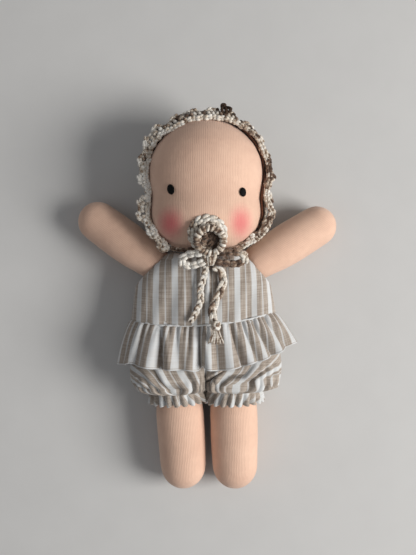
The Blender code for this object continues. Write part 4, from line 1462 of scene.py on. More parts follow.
            # The yarn's place on its ramp: variegated along the edging, with painted light making
            # it lighter towards the left and darker towards the right, and painted shade darkening
            # the first stitches at the lower left end.
            dye_and_painted_light = 0.52 + 0.12 * math.sin(n * 0.23) + 0.10 * math.sin(n * 0.71 + 1)
            dye_and_painted_light -= 3.0 * here.x - 0.12 * max(0.0, -here.x / 0.035) + 0.28 * max(0.0, 1 - n / 9)
            spot = here + out * 0.0014 + UP * (0.0006 + skein.near(0.0005))
            lean = (ahead + out * skein.near(0.35)).normalized()
            length = (there - here).length * 2.1
            skein.stitch(spot, lean, UP, length, 0.0017, dye_and_painted_light + 0.08 + skein.near(0.22), 1.15)
            # The strand under the stitch is dyed darker: painted shade beneath it.
            under = spot - UP * 0.0020
            skein.leaf(under, under + ahead * length, UP * -0.0002, 0.0013, dye_and_painted_light - 0.25)
            base = here + out * wide * 0.36 + UP * (0.0002 + skein.near(0.0005))
            tip = base + out * wide * 0.34 + ahead * (0.0008 + skein.near(0.0014))
            skein.leaf(base, tip, UP * 0.0005, 0.00135, dye_and_painted_light - 0.08 + skein.near(0.32))
            self.outer_stitch(skein, outside, n, dye_and_painted_light)
        return skein.make("bonnet_edging_stitches")

    def outer_stitch(self, skein: Skein, outside: list[Vector], n: int, dye_and_painted_light: float) -> None:
        """A stitch of the wavy outermost chain, with a small bump on each crest.

        Args:
            skein: the yarn of the edging.
            outside: the line of the outermost chain.
            n: where the stitch is on that line.
            dye_and_painted_light: the yarn's place on its ramp there, painted light and shade
                included.
        """
        here, after = outside[n], outside[n + 1]
        ahead = (after - here).normalized()
        out = Vector((-ahead.y, ahead.x, 0.0))
        if out.dot(here - at(0, 0.045, self.rim_level)) < 0:
            out = -out
        sway = n * math.tau / self.wave
        crest = 0.5 + 0.5 * math.sin(sway + 0.6 * math.sin(n * 0.37))
        length = (after - here).length * 2.0
        lean = (ahead + out * (0.55 * math.cos(sway) + skein.near(0.2))).normalized()
        spot = here - out * (0.0026 - 0.0012 * crest) + UP * skein.near(0.0006)
        skein.stitch(spot, lean, UP, length, 0.0016, dye_and_painted_light + 0.04 + skein.near(0.3), 1.12)
        # The strand beneath is dyed darker: painted shade under the stitch.
        under = spot - UP * 0.0018 - out * 0.0004
        tone = dye_and_painted_light - 0.22 + skein.near(0.2)
        skein.leaf(under, under + ahead * length, out * 0.0003, 0.0013, tone)
        if crest > 0.72:
            bump = here - out * 0.0010
            tip = bump + ahead * 0.0016 + out * 0.0004
            bulge = UP * 0.0006 + out * 0.0003
            skein.leaf(bump, tip, bulge, 0.0012, dye_and_painted_light + skein.near(0.4), sides=7)

    def yarn_end(self, thread: Material) -> None:
        """The dark end of yarn that stands up where the bonnet was started."""
        middle = sum(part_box("yarn_end"), Vector()) / 2
        skein = Skein(35)
        for n in range(3):
            axis = Matrix.Rotation(math.tau * n / 3, 3, "Y") @ Matrix.Rotation(0.7, 3, "X")
            line = [middle + axis @ arrow(t) * 0.0013 for t in np.linspace(0, math.tau * 0.93, 11)]
            skein.strand(line, 0.0010, 0.10, ends=0.8)
        for aside, long, thick in (
            (-0.0008, 0.0052, 0.0011), (0.0008, 0.0066, 0.0013), (0.0024, 0.0048, 0.0012)
        ):
            foot = middle + Vector((aside + 0.0006, -long, 0.0034))
            head = middle + Vector((aside * 0.6, -0.0004, 0.0002))
            skein.leaf(foot, head, Vector((aside, 0, 0.0016)), thick, 0.12)
        piece = dress(skein.make("yarn_end_curl"), thread)
        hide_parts("yarn_end")
        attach(piece, "head")

    def make(self, yarn: Material, thread: Material) -> None:
        """Crochet the bonnet and its edging."""
        cap = join("bonnet_crochet", [self.lining(), self.crown()])
        dress(cap, yarn)
        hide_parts("bonnet")
        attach(cap, "head")
        rim = dress(self.edging(), yarn)
        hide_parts("bonnet_edging")
        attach(rim, "head")
        self.yarn_end(thread)


# ---- dummy


@dataclass
class Dummy:
    """The crocheted dummy: a domed disc worked in the round, and a bound ring."""

    radius: float = 0.0113
    rise: float = 0.0050
    edge: float = 0.0022
    flat_share: float = 0.45
    tilt: float = math.radians(20.0)
    ring_radius: float = 0.0083
    ring_tube: float = 0.0022
    ring_lower: float = 0.0030
    ring_aside: float = 0.0016

    @property
    def ring_level(self) -> float:
        """How high the ring's middle line lies off the face."""
        return self.rise + 0.0003 + self.ring_tube

    def frame(self) -> Matrix:
        """The dummy's own axes: its middle on the face, with Z off the mouth."""
        turn = Matrix.Rotation(self.tilt, 4, "X")
        back = turn.to_3x3() @ Vector((0, self.ring_radius - self.ring_lower, self.ring_level))
        return Matrix.Translation(Vector(hinge("dummy_ring_fold")) - back) @ turn

    def level(self, away: float) -> float:
        """How high the disc stands at a distance from its middle."""
        share = (away / self.radius - self.flat_share) / (1 - self.flat_share)
        share = min(1.0, max(0.0, share))
        return self.edge + (self.rise - self.edge) * math.sqrt(1 - share * share)

    def disc(self) -> Piece:
        """Rounds of stitches on the disc, and a row down its edge."""
        skein = Skein(41)
        for away, wide in ((0.0016, 0.0017), (0.0054, 0.0021), (0.0096, 0.0024)):
            count = max(4, round(math.tau * away / 0.0042))
            for n in range(count):
                turn = -math.tau * n / count + away * 300
                place = arrow(turn) * away + UP * (self.level(away) - 0.0010)
                slope = (self.level(away + 0.0005) - self.level(away - 0.0005)) / 0.001
                normal = (UP - arrow(turn) * slope).normalized()
                ahead = arrow(turn - math.pi / 2)
                # Stitches under the ring are dyed dark: the ring's painted shadow.
                in_ring_shadow = math.hypot(place.x - self.ring_aside, place.y + self.ring_lower) < 0.0072
                tone = (0.16 if in_ring_shadow else 0.66) + skein.near(0.22)
                skein.stitch(place, ahead, normal, math.tau * away / count, wide, tone)
        count = 18
        for row in range(2):
            for n in range(count):
                turn = math.tau * (n + row * 0.5) / count
                out, ahead = arrow(turn), arrow(turn + math.pi / 2)
                place = out * (self.radius - 0.0006) + Vector((0, 0, 0.0008 - row * 0.0030))
                # Darker on the disc's left side: painted shade.
                tone = 0.50 - 0.28 * max(0.0, -math.cos(turn - 0.3)) + skein.near(0.25)
                skein.stitch(place, ahead, out, 0.0039, 0.0019, tone, steps=4)
        return skein.make("dummy_stitches")

    def make(self, yarn: Material) -> None:
        """Work the disc and bind the ring."""
        place = self.frame()
        core = backing("dummy_shield", "dummy_core", 0.0006)
        # The core is dyed near black: painted shade in the gaps between the disc's stitches.
        dye_points(core, [0.15] * len(core.data.vertices))
        stitches = self.disc()
        stitches.data.transform(place)
        shield = join("dummy_disc", [core, stitches])
        dress(shield, yarn)
        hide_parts("dummy_shield")
        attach(shield, "dummy")
        self.ring(yarn, place)

    def ring(self, yarn: Material, place: Matrix) -> None:
        """The ring: a core of yarn bound round and round with more."""
        skein = Skein(43)
        middle = Vector((self.ring_aside, -self.ring_lower, self.ring_level))
        core = [middle + arrow(t) * self.ring_radius for t in np.linspace(0, math.tau, 33)]
        # The core is dyed darker than the wraps: painted shade between them.
        skein.strand(core, self.ring_tube * 0.80, 0.3, sides=8, ends=1.0)
        count = 19
        for n in range(count):
            turn = math.tau * (n + skein.near(0.18)) / count
            loop = []
            size = self.ring_tube * (0.66 + skein.near(0.07))
            slant = 0.22 + skein.near(0.16)
            for t in np.linspace(0, math.tau * 0.96, 11):
                a = turn + slant * (t / math.tau)
                away = self.ring_radius + size * math.cos(t)
                loop.append(middle + arrow(a) * away + UP * size * math.sin(t))
            # Darker round the ring's lower left: painted shade.
            light = 0.60 - 0.40 * math.exp(-(((turn % math.tau - 3.6) / 0.7) ** 2))
            skein.strand(loop, 0.00112, light + skein.near(0.24), ends=0.9)
        piece = skein.make("dummy_ring_bound")
        piece.data.transform(place)
        dress(piece, yarn)
        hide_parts("dummy_ring")
        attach(piece, "dummy_ring")


# ---- limbs and torso


@dataclass(frozen=True)
class Cut:
    """The sizes that both arms, or both legs, share, with their headings in degrees."""

    kind: str
    joint: str
    reach: float
    ball: float
    radius: float
    tip: float
    seam: float
    level: float
    headings: tuple
    shares: tuple
    point: float = 1.0
    lifted: float = 0.0005

    @property
    def drop(self) -> float:
        """How steeply the limb slopes down to lie on the floor, in radians."""
        return math.asin((self.level - self.tip + self.lifted) / self.reach)

    def ahead(self, side: Side) -> Point:
        """The way that the limb of a side points."""
        heading = math.radians(self.headings[0 if side is Side.LEFT else 1])
        level = math.cos(self.drop)
        return math.cos(heading) * level, math.sin(heading) * level, -math.sin(self.drop)

    def hub(self, side: Side) -> list[float]:
        """The place that the limb of a side turns about."""
        return hinge(self.joint.format(side.value))


ARM = Cut(
    "arm", "shoulder_{}_swing", 0.0475, 0.0120, 0.0143, 0.0138, 0.0040, 0.0205, (144.0, 31.5),
    ((0.78, 0.985), (0.52, 1.000), (0.30, 0.960), (0.12, 0.875)),
)
LEG = Cut(
    "leg", "hip_{}_fold", 0.0525, 0.0145, 0.0162, 0.0155, 0.0050, 0.0190, (-86.5, -88.5),
    ((0.80, 0.985), (0.55, 1.000), (0.33, 1.000), (0.20, 0.965), (0.12, 0.920)), 1.08,
)


@dataclass
class Limb:
    """A stuffed arm or leg, from its rounded end in the socket to its tip."""

    cut: Cut
    side: Side
    sides: int = 28

    def stations(self) -> list[tuple[Vector, float, float]]:
        """The limb's rings up its own Z, from the ball to the tip."""
        cut, rings = self.cut, []
        last = math.asin(cut.seam / cut.ball)
        for n in range(4):
            turn = math.pi - last - (math.pi / 2 - last) * n / 3
            rings.append((cut.ball * math.cos(turn), cut.ball * math.sin(turn)))
        for along, share in reversed(cut.shares):
            rings.append((cut.reach * along, cut.radius * share))
        for n in range(6):
            turn = math.pi / 2 * (1 - n / 6)
            height = cut.reach + cut.tip * math.cos(turn) * cut.point
            rings.append((height, cut.tip * math.sin(turn)))
        return [(UP * height, wide, wide) for height, wide in rings]

    def make(self, skin: Material) -> None:
        """Stuff the limb and turn it to where it lies."""
        kind, side = self.cut.kind, self.side.value
        hub, ahead = self.cut.hub(self.side), Vector(self.cut.ahead(self.side))
        place = Matrix.Translation(hub) @ ahead.to_track_quat("Z", "Y").to_matrix().to_4x4()
        form = outline(f"{kind}_stuffed_{side}", self.stations(), self.sides, place)
        root, line = np.array(hub), np.array(ahead)
        Stuffing(voxel=0.0019, cap=0.0007, fill=0.85).pack(
            form, lambda spots: (spots - root) @ line < 0.002, floor=FLOOR_GAP
        )
        self.pinch(form, root, line)
        across = np.array(ahead.cross(UP).normalized())
        up = np.cross(across, line)

        def turn(spots: Array) -> tuple[Array, Array]:
            """Turns round the limb, and metres along it."""
            away = spots - root
            return np.arctan2(away @ across, away @ up), away @ line

        wrap(form, turn, self.cut.radius)
        dress(form, skin)
        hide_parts(f"{kind}_skin_{side}", f"{kind}_wool_{side}")
        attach(form, f"{kind}_{side}")

    def pinch(self, form: Piece, root: Array, line: Array) -> None:
        """Press soft uneven dents into the stuffing.

        Args:
            form: the stuffed limb.
            root: where its joint is.
            line: the way that it points.
        """
        chance = np.random.default_rng(21 + self.side.sign)
        radius = self.cut.radius
        spots, _ = corners(form)
        away = spots - root
        along = away @ line
        axis = away - np.outer(along, line)
        size = np.linalg.norm(axis, axis=1, keepdims=True)
        normal = axis / np.maximum(size, 1e-6)
        deep = np.zeros(len(spots))
        for _ in range(9):
            middle = chance.normal(size=3)
            middle = middle / np.linalg.norm(middle) * radius
            middle = root + line * chance.uniform(0.25, 1.0) * self.cut.reach + middle
            far = np.linalg.norm(spots - middle, axis=1) / (radius * chance.uniform(0.45, 0.8))
            deep += chance.uniform(0.0, 0.00035) * np.exp(-(far**2) * 2)
        fade = np.clip((along - 0.003) / 0.01, 0, 1) * np.clip(size[:, 0] / 0.006, 0, 1)
        spots = spots - normal * (deep * fade)[:, None]
        spots[:, 2] = np.maximum(spots[:, 2], FLOOR_GAP)
        move(form, spots)


@dataclass
class Body:
    """The stuffed torso with its two arms and two legs."""

    length: float = 0.0880
    width: float = 0.0770
    depth: float = 0.0340
    level: float = 0.0207
    neck_level: float = 0.0290
    socket: float = 0.0202
    seat_line: float = 0.0630
    shares: tuple = (
        (0.004, 0.290, 0.40), (0.020, 0.500, 0.52), (0.050, 0.670, 0.66), (0.100, 0.735, 0.78),
        (0.190, 0.785, 0.90), (0.320, 0.885, 0.97), (0.480, 0.975, 1.00), (0.650, 1.000, 0.98),
        (0.800, 0.960, 0.94), (0.910, 0.800, 0.80), (0.975, 0.480, 0.50),
    )

    def torso(self, skin: Material) -> Piece:
        """Stuff the torso."""
        rings = []
        for along, wide, deep in self.shares:
            rise = (self.neck_level - self.level) * max(0.0, 1 - along / 0.12)
            spot = Vector((0.0, self.level + rise, along * self.length))
            rings.append((spot, wide * self.width / 2, deep * self.depth / 2))
        place = Matrix.Translation((NECK[0], NECK[1], 0)) @ Matrix.Rotation(math.pi / 2, 4, "X")
        form = outline("torso_stuffed", rings, 36, place)
        Stuffing(voxel=0.0024, cap=0.0004, fill=0.85).pack(form, None, floor=0.0036)
        spots, _ = corners(form)
        for side in Side:
            hub = np.array(LEG.hub(side))
            away = spots - hub
            room = self.socket**2 - away[:, 0] ** 2 - away[:, 2] ** 2
            edge = hub[1] + np.sqrt(np.maximum(room, 0))
            spots[:, 1] = np.where(room > 0, np.maximum(spots[:, 1], edge), spots[:, 1])
        move(form, spots)
        middle = at(0, 0, self.level)

        def turn(spots: Array) -> tuple[Array, Array]:
            """Turns round the torso, and metres along it."""
            return np.arctan2(spots[:, 0] - middle.x, spots[:, 2] - middle.z), spots[:, 1]

        wrap(form, turn, self.width / 2)
        dress(form, skin)
        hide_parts("torso_skin", "torso_wool")
        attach(form, "torso")
        return form

    def seat(self, form: Piece, linen: Material) -> None:
        """Line the romper's seat, so that a folded leg bares cloth and not the torso.

        Args:
            form: the stuffed torso.
            linen: the cloth.
        """
        piece = bring("romper_seat", form.data.copy())
        cut = (0, NECK[1] - self.seat_line, 0)
        with editing(piece):
            bpy.ops.mesh.bisect(plane_co=cut, plane_no=(0, 1, 0), clear_outer=True)
        modify(piece, "SOLIDIFY", thickness=0.0006, offset=1.0)
        spots, index = corners(piece)
        corner = spots[index]
        lay(piece, np.stack((corner[:, 0], corner[:, 1] + corner[:, 2]), -1))
        dress(piece, linen)
        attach(piece, "torso")

    @staticmethod
    def limbs(skin: Material) -> None:
        """Stuff the arms and the legs."""
        for cut in (ARM, LEG):
            for side in Side:
                Limb(cut, side).make(skin)
                LOG.info("%s, %s", cut.kind, side.value)


# ---- romper


@dataclass
class Pattern:
    """The lines of the romper read off the picture, in millimetres from the neck seam."""

    waist: tuple = (
        (-48.9, -42.7), (-37.3, -44), (-29.5, -45.2), (-16.6, -45.2), (-3.7, -45.2), (2.8, -44.7),
        (9.3, -43.8), (18.9, -42.7), (28.6, -41.1), (36.4, -39.2), (42.2, -37.6), (48, -36.6),
    )
    hem: tuple = (
        (-58.5, -71.2), (-52, -71.2), (-49.2, -70), (-42.2, -71.8), (-35.7, -72.8), (-29.3, -73.6),
        (-13.3, -73.6), (-5.6, -74.5), (-3.6, -73.4), (-1.1, -71.2), (1, -73.6), (6, -74),
        (14.3, -73.4), (22, -72), (28.5, -69.8), (36.2, -67.6), (41.3, -65.7), (49, -61.8),
        (56.1, -57.5), (59, -56.5),
    )
    chest_stripes: tuple = (-45.5, -32.7, -19.8, -6.9, 0.9, 8.6, 20.6, 31.9, 44)
    hem_stripes: tuple = (-50, -35.6, -19.7, -6.2, 1.5, 15.6, 29.5, 38.1, 47.5)

    @staticmethod
    def read(table: tuple, x: Array) -> Array:
        """A line's Y at each X."""
        return np.interp(x, *(np.array(table) * MM).T)

    @staticmethod
    def across(stripes: tuple, x: Array, z: Array, level: float) -> Array:
        """Where each point of a section is across the cloth, so that the stripes fall in place.

        Args:
            stripes: the X of each white stripe's middle on the front, in millimetres.
            x: the section's points, from the middle of the back and round by the front.
            z: their height.
            level: the height that parts front from back.

        Returns:
            Metres across the cloth, 0 at the stripe nearest the middle.
        """
        stripes = np.array(stripes) * MM
        count = len(stripes)
        flat = (np.arange(count) - count // 2) * REPEAT
        on_front = np.interp(x, stripes, flat, left=np.nan, right=np.nan)
        known, rise = np.diff(on_front), np.diff(z)
        step = np.where(
            (z[:-1] > level) & np.isfinite(known), np.hypot(known, rise), np.hypot(np.diff(x), rise)
        )
        along = np.concatenate(([0.0], np.cumsum(step)))
        front = np.nonzero(z > level)[0]
        centre = front[np.argmin(np.abs(x[front] - stripes[count // 2]))]
        return along - along[centre]


@dataclass
class Romper:
    """The striped linen romper: bodice, gathered frill and the seam between them."""

    pattern: Pattern
    cloth: float = 0.0007
    bodice_length: float = 0.0420
    bodice_width: float = 0.0940
    bodice_depth: float = 0.0414
    frill_length: float = 0.0315
    frill_width: float = 0.1170
    frill_depth: float = 0.0460
    square: float = 2.5
    sink: float = 0.0005
    left_ease: float = 1.05
    gather: float = 0.0042
    seam_bead: float = 0.0007
    bodice_shares: tuple = (
        (0.010, 0.500, 0.480, 0.84), (0.060, 0.620, 0.590, 0.92), (0.160, 0.790, 0.745, 0.96),
        (0.300, 0.930, 0.845, 0.98), (0.450, 0.985, 0.905, 1.00), (0.700, 1.020, 0.950, 1.00),
        (1.000, 1.050, 0.990, 1.00),
    )
    front_folds: tuple = (
        (-0.0450, -0.0535, 0.0022, 0.8), (-0.0395, -0.0465, 0.0030, 0.9),
        (-0.0291, -0.0293, 0.0086, 1.0), (-0.0190, -0.0170, 0.0016, 1.6),
        (-0.0110, -0.0095, 0.0014, 1.4), (-0.0045, -0.0035, 0.0086, 0.85),
        (0.0060, 0.0075, 0.0024, 1.2), (0.0150, 0.0235, 0.0044, 0.9),
        (0.0225, 0.0330, 0.0026, 1.0), (0.0290, 0.0430, 0.0044, 0.9),
        (0.0370, 0.0520, 0.0030, 0.8),
    )

    def ring(
        self, wide: float, deep: float, level: float, count: int, floor: float = 0.0003
    ) -> Array:
        """A squared oval round the body, from the middle of the back round the front.

        Args:
            wide, deep: half its width and half its height.
            level: the height of its middle.
            count: how many equal parts it has.
            floor: the level that nothing goes below.

        Returns:
            X from the midline and Z of each point, with the first again at the end.
        """
        turns = -math.pi - np.linspace(-math.pi / 2, math.pi * 1.5, 721)
        power = 2 / self.square
        x = wide * squared(np.cos(turns), power)
        z = np.maximum(level + deep * squared(np.sin(turns), power), floor)
        lengths = run_of(np.stack((x, z), -1))
        wanted = np.linspace(0, lengths[-1], count + 1)
        return np.stack([np.interp(wanted, lengths, line) for line in (x, z)], -1)

    def seam(self, x: Array, z: Array) -> Array:
        """The waist seam's Y: as the picture has it in front, and level behind."""
        share = np.clip((z - 0.004) / 0.028, 0, 1)
        plain = -self.bodice_length - 0.00015
        return plain + (self.pattern.read(self.pattern.waist, x) - plain) * share

    def arm_space(self, side: Side) -> Piece:
        """The room that an arm swings in, as one smooth lump for cutting the armhole."""
        hub = Vector(ARM.hub(side))
        round_about, over = 18, 9
        spots = []
        for degrees in (-16.0, 0.0, 15.0, 30.0, 43.0):
            angle = math.radians(degrees)
            heading = angle if side is Side.RIGHT else math.pi - angle
            ahead = arrow(heading, -0.14)
            for along, radius in ((0.0, 0.0128), (0.020, 0.0150), (0.05, 0.0160)):
                middle = hub + ahead * along
                for n in range(round_about):
                    for m in range(1, over):
                        a, b = math.tau * n / round_about, math.pi * m / over
                        out = arrow(a) * math.sin(b) + UP * math.cos(b)
                        spots.append(middle + out * radius)
        piece = new_mesh(f"arm_space_{side.value}", spots, [])
        with editing(piece):
            bpy.ops.mesh.convex_hull()
            bpy.ops.mesh.select_all(action="SELECT")
            bpy.ops.mesh.delete_loose()
        return piece

    def bodice(self, linen: Material) -> None:
        """The sleeveless top, softly wrinkled, with an armhole round each arm."""
        rows, columns = 56, 240
        shares = np.array(self.bodice_shares)
        points, cloth = [], []
        level = self.bodice_depth / 2 - self.sink
        for share in np.linspace(shares[0, 0], 1.0, rows):
            left, right, deep = (np.interp(share, shares[:, 0], shares[:, k]) for k in (1, 2, 3))
            ring = self.ring(self.bodice_width / 2, deep * self.bodice_depth / 2, level, columns)
            whole, z = ring.T
            x = whole * np.where(whole < 0, left, right)
            front = np.clip((z - 0.018) / 0.02, 0, 1)
            wrinkle = 0.0006 * np.sin(x * 420 + share * 2.2) * np.sin(share * 4.0 + x * 60)
            wrinkle += 0.0008 * np.sin(x * 230 - share * 3.0 + 1.0) * share
            pull = np.exp(-(((x - 0.003) / 0.009) ** 2)) * (1 - share) * 0.0016
            wrinkle += pull * np.sin(x * 1300)
            collar = 0.0030 * np.clip((np.abs(x) - 0.013) / 0.008, 0, 1) * max(0.0, 1 - share / 0.3)
            y = NECK[1] + self.seam(x, z) * share + collar
            points.append(np.stack((x + NECK[0], y, z + front * wrinkle), -1))
            flat = self.pattern.across(self.pattern.chest_stripes, x, z, level)
            cloth.append(np.stack((flat, np.full_like(x, -share * self.bodice_length)), -1))
        piece = grid("bodice_cloth", np.array(points), np.array(cloth))
        modify(piece, "SOLIDIFY", thickness=self.cloth, offset=-1.0)
        for side in Side:
            space = self.arm_space(side)
            modify(piece, "BOOLEAN", operation="DIFFERENCE", object=space, solver="EXACT")
            bpy.data.objects.remove(space)
        dress(piece, linen)
        piece.data.shade_smooth()
        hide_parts("bodice")
        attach(piece, "torso")

    def pleats(self, x: Array, share: float) -> Array:
        """How far the frill stands out of its plain section in front.

        Each fold is a valley between two pleats, given by where it is at the seam and at the
        hem, how deep it is and how wide it opens.
        """
        lift = np.full_like(x, 0.0024 * share)
        for top, hem, full, sharp in self.front_folds:
            deep = full * (0.30 + 0.70 * share)
            middle = top + (hem - top) * share
            width = 0.0013 + 0.0020 * share * sharp
            dent = np.exp(-(np.abs((x - middle) / width) ** 1.7))
            rim = np.exp(-(((np.abs(x - middle) - 2.1 * width) / (1.2 * width)) ** 2))
            lift += deep * (0.22 * rim - dent)
        return lift

    def frill(self, linen: Material) -> None:
        """The gathered frill with its pleats, and gathers at the seam."""
        rows, columns = 48, 620
        points, cloth = [], []
        full = self.ring(self.frill_width / 2, self.frill_depth / 2, self.frill_depth / 2, columns)
        flat = self.pattern.across(self.pattern.hem_stripes, *full.T, self.frill_depth / 2)
        chance = np.random.default_rng(17)
        drift = np.cumsum(chance.normal(size=columns + 1)) * 0.09
        drift -= np.linspace(0, drift[-1], columns + 1)
        for share in np.linspace(0, 1, rows):
            wide = (self.bodice_width + (self.frill_width - self.bodice_width) * share**0.75) / 2
            deep = (self.bodice_depth + (self.frill_depth - self.bodice_depth) * share**0.6) / 2
            ring = self.ring(wide, deep - self.sink, deep - self.sink, columns)
            x, z = ring.T
            x = np.where(x < 0, x * (self.left_ease - 0.07 * share), x)
            front = np.clip((z - 0.012) / 0.020, 0, 1)
            back = (1 - front) * 0.0010 * share * np.sin(flat * 420 + drift)
            near_seam = math.exp(-share * 4.5)
            gather = 0.0009 * np.sin(flat * math.tau / self.gather + drift)
            gather *= near_seam * min(1.0, share * 14)
            lift = self.pleats(x, share) * front + gather * front + back
            out = np.stack((x / wide * 0.5, (z - deep) / deep), -1)
            out /= np.maximum(np.linalg.norm(out, axis=1, keepdims=True), 1e-6)
            seam = self.seam(x * self.bodice_width / 2 / wide, z)
            plain = -self.bodice_length - self.frill_length
            shown = self.pattern.read(self.pattern.hem, x * self.frill_width / 2 / wide)
            hem = plain + (shown - plain) * front
            hem = np.where(x > 0, hem + (1 - front) * 0.0150 * np.clip(x / wide, 0, 1) ** 2, hem)
            y = NECK[1] + seam + (hem - seam) * share
            high = np.maximum(z + out[:, 1] * lift, 0.0003)
            points.append(np.stack((x + out[:, 0] * lift + NECK[0], y, high), -1))
            cloth.append(np.stack((flat, np.full_like(x, -share * self.frill_length)), -1))
        piece = grid("peplum_cloth", np.array(points), np.array(cloth))
        modify(piece, "SOLIDIFY", thickness=self.cloth, offset=-1.0)
        dress(piece, linen)
        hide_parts("peplum")
        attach(piece, "torso")

    def waist_seam(self, linen: Material) -> None:
        """The narrow pale ridge where the frill is sewn on."""
        columns, rows = 240, 7
        deep = self.bodice_depth / 2 - self.sink
        ring = self.ring(self.bodice_width / 2, deep + 0.0011, deep, columns, 0.0009)
        ring[:, 0] *= np.where(ring[:, 0] < 0, self.left_ease, 1.0)
        seam = self.seam(ring[:, 0], ring[:, 1])
        bead = self.seam_bead + 0.00012 * np.sin(np.arange(columns + 1) * math.tau / 5)
        x, z = ring[:, 0] + NECK[0], ring[:, 1]
        points = np.array([
            np.stack((x, NECK[1] + seam + bead * math.cos(turn), z + bead * math.sin(turn)), -1)
            for turn in np.linspace(0, math.tau, rows)
        ])
        piece = grid("waist_seam", points, points[:, :, :2] * 0)
        settle(piece)
        dress(piece, linen)
        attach(piece, "torso")


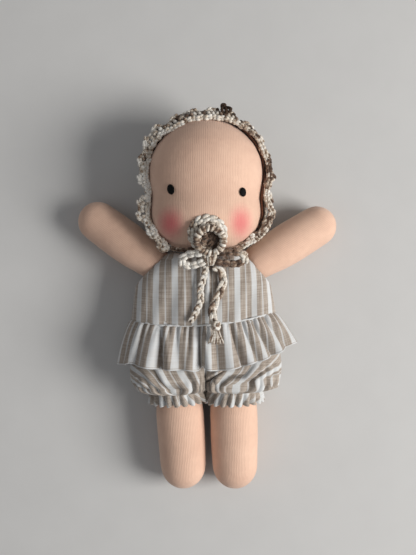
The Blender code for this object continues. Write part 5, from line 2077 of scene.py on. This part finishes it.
@dataclass
class Bloomers:
    """The gathered shorts of the romper, sewn at the midline, with elastic cuffs."""

    pattern: Pattern
    crotch: float = -0.0920
    waist: float = -0.0423
    cuff: float = 0.0178
    stations: tuple = (0.0004, -0.0008)
    frill_end: float = 0.0079
    gathers: int = 23
    pucker: float = 0.0009
    turn_room: float = 0.0190
    cloth: float = 0.0007
    profile: tuple = (
        (-0.0423, 0.0455, 0.0382, 8.0), (-0.0500, 0.0478, 0.0382, 8.0),
        (-0.0600, 0.0488, 0.0382, 8.0), (-0.0660, 0.0496, 0.0384, 8.0),
        (-0.0710, 0.0503, 0.0392, 7.5), (-0.0760, 0.0502, 0.0408, 7.0),
        (-0.0805, 0.0496, 0.0416, 6.5), (-0.0840, 0.0484, 0.0413, 6.0),
        (-0.0865, 0.0466, 0.0406, 5.5),
    )

    def fan(self, side: Side, x: Array, y: Array) -> Array:
        """Where a point in front is across the cloth: the stripes run in towards the crotch.

        Args:
            side: which leg; the right one's stripes bend, the left one's are straight.
            x: metres out from the midline.
            y: metres along the body, from the neck.

        Returns:
            Metres across the cloth.
        """
        above = y - self.crotch
        if side is Side.LEFT:
            narrow = 0.52 + 0.48 * np.clip((above - 0.002) / 0.018, 0.0, 2.6)
        else:
            bend = np.clip((above - 0.0022) / 0.0178, 0.0, 1.0) ** 0.6
            narrow = np.maximum(0.40 + 0.35 * np.clip(x / 0.04, 0, 1), bend)
            narrow = narrow + np.clip((above - 0.020) / 0.030, 0, 1) * 0.5
        return 0.76 * x / narrow + 0.0012 * np.sin(x * 160 + above * 120)

    def half(self, side: Side, linen: Material) -> None:
        """One leg of the bloomers from the waist seam to the frill at its cuff.

        Args:
            side: which leg.
            linen: the cloth.
        """
        upper, under, ruffle, columns = 56, 10, 18, 300
        hub = Vector(LEG.hub(side))
        ahead = np.array(LEG.ahead(side))
        across = np.array((-ahead[1], ahead[0], 0.0)) / math.cos(LEG.drop) * side.sign
        up = np.cross(ahead, across)
        up *= np.sign(up[2])
        turns = np.linspace(0, math.tau, columns + 1)
        c, s = -np.cos(turns), np.sin(turns)
        table = np.array(self.profile)
        rings, cloths = [], []
        chance = np.random.default_rng(60 + side.sign)
        sag = chance.uniform(0, math.tau, 3)
        gathers = turns * self.gathers + sag[2]
        for y in np.linspace(table[0, 0], table[-1, 0], upper):
            wide, top, inner = (np.interp(-y, -table[:, 0], table[:, k]) for k in (1, 2, 3))
            x = wide / 2 * (1 + squared(c, np.where(c < 0, 2 / inner, 2 / 2.5)))
            z = 1 + squared(s, np.where(c < 0, 2 / inner, 2 / 2.4))
            z = FLOOR_GAP + (top - FLOOR_GAP) / 2 * z
            front = np.clip((z - 0.016) / 0.016, 0, 1)
            flat = self.fan(side, x, np.full_like(x, y))
            low = np.clip((-0.066 - y) / 0.012, 0, 1)
            ridge = np.sin(flat * math.tau / 0.0095 + sag[0]) * 0.0011
            ridge += np.sin(flat * math.tau / 0.0047 + sag[1] + y * 90) * 0.0004
            ridge *= low * np.clip(x / 0.008, 0, 1) * np.clip((wide - x) / 0.012, 0.15, 1)
            pleat = np.sin(gathers) * self.pucker * np.clip((-0.077 - y) / 0.010, 0, 1)
            if side is Side.RIGHT:
                ridge += self.crease(x, y) * low
                ridge += 0.0008 * np.sin(x * 1250) * np.clip((x - 0.032) / 0.006, 0, 1) * low
            out = np.stack((c * 0.6, s), -1)
            out /= np.linalg.norm(out, axis=1, keepdims=True)
            lift = ridge * front + pleat
            aside = NECK[0] + side.sign * (x + out[:, 0] * lift * (x > 0.001))
            rings.append(np.stack((aside, np.full_like(x, NECK[1] + y), z + out[:, 1] * lift), -1))
            behind = np.arange(columns + 1) > np.argmax(x)
            flat = np.where(behind, 2 * np.max(flat) - flat, flat)
            cloths.append(np.stack((flat, np.full_like(x, y)), -1))
        station = self.stations[0 if side is Side.LEFT else 1]
        middle = np.array(hub) + ahead * station
        spokes = np.outer(c, across) + np.outer(s, up)
        wave = self.pucker * np.sin(gathers)
        last = rings[-1]
        for n in range(1, under + 1):
            t = n / under
            ease = 1 - math.cos(t * math.pi / 2)
            cuff = middle + spokes * (self.cuff + wave * (1 - 0.4 * t))[:, None]
            line = last * (1 - ease) + cuff * ease
            line[:, 1] = last[:, 1] + (cuff[:, 1] - last[:, 1]) * math.sin(t * math.pi / 2) ** 0.9
            rings.append(line)
            cloths.append(cloths[upper - 1] - (0, 0.008 * t))
        start = cloths[-1]
        for n in range(1, ruffle + 1):
            t = n / ruffle
            slant = np.sin(gathers + 1.6 * t)
            radius = self.cuff - 0.0003 + 0.0016 * t**0.8 + 0.0003 * math.sin(math.pi * t)
            radius = radius + 0.0015 * t**0.6 * slant
            spot = middle + ahead * (self.frill_end - station) * t
            rings.append(spot + spokes * radius[:, None] + np.outer(0.0007 * t * slant, ahead))
            cloths.append(start + (0.0045 * t, -0.009 * t))
        points, cloth = np.array(rings), np.array(cloths)
        points[:, :, 2] = np.maximum(points[:, :, 2], FLOOR_GAP)
        inside = (points[:, :, 0] - NECK[0]) * side.sign
        points[:, :, 0] = NECK[0] + side.sign * np.maximum(inside, 0.0001)
        if side is Side.LEFT:
            points, cloth = points[:, ::-1], cloth[:, ::-1]
        piece = grid(f"bloomers_{side.value}", points, cloth)
        modify(piece, "SOLIDIFY", thickness=self.cloth, offset=-1.0)
        dress(piece, linen)
        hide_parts("bloomers")
        start = Vector((hub.x, hub.y + self.turn_room, hub.z))
        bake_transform(piece)

    @staticmethod
    def crease(x: Array, y: float) -> Array:
        """The deep fold that runs up from the crotch on the right."""
        away = (x - 0.0100 - (y + 0.0755) * 1.46) / 0.0013
        bank = np.exp(-(((away + 2.0) / 1.6) ** 2)) * 0.0012
        return (bank - 0.0056 * np.exp(-(away**2))) * float(-0.0865 < y < -0.068)

    def make(self, linen: Material) -> None:
        """Sew both legs."""
        for side in Side:
            self.half(side, linen)


# ---- all of it


def dress_hidden() -> None:
    """Finish the solids that stay: the magnets, the elastics and the neck's thread."""
    plated = PlatedDisc().make("magnet_plate")
    # The elastics take the linen casing's colour, darkened: painted shade in the casing.
    elastic = Stitches((0.17, 0.135, 0.11), (0.26, 0.21, 0.17), 0.0005, 0.9).make("elastic_casing")
    thread = Stitches((0.62, 0.42, 0.32), (0.75, 0.55, 0.42), 0.0004, 0.8).make("neck_thread_ply")
    finishes = {
        "mouth_magnet": plated,
        "dummy_magnet": plated,
        "leg_elastic_left": elastic,
        "leg_elastic_right": elastic,
        "neck_thread": thread,
    }
    for name, material in finishes.items():
        node = frame["nodes"][name]
        for slot in node.material_slots:
            slot.material = material


def main() -> None:
    """Build and dress every sub-assembly in order."""
    studio = Studio()
    studio.stand()
    yarn = CrochetYarn().make("bonnet_yarn")
    Ties().make(yarn)
    LOG.info("ties, bow and tails")
    skin = KnitSkin()
    plain = skin.make("stockinette")
    head = Head()
    head.make(skin)
    head.eyes()
    LOG.info("head and eyes")
    dark = Stitches((0.045, 0.028, 0.020), (0.10, 0.065, 0.045), 0.0006, 0.9).make("dark_yarn")
    Bonnet().make(yarn, dark)
    LOG.info("bonnet")
    Dummy().make(yarn)
    LOG.info("dummy")
    body = Body()
    linen = StripedLinen().make("striped_linen")
    body.seat(body.torso(plain), linen)
    body.limbs(plain)
    pattern = Pattern()
    romper = Romper(pattern)
    Bloomers(pattern).make(linen)
    romper.bodice(linen)
    romper.frill(StripedLinen(hem=romper.frill_length).make("hemmed_linen"))
    romper.waist_seam(linen)
    LOG.info("romper")
    dress_hidden()
    studio.floor()
    studio.light()
    let_go()


if __name__ == "__main__":
    logging.basicConfig(level=logging.INFO, format="%(message)s")
    main()
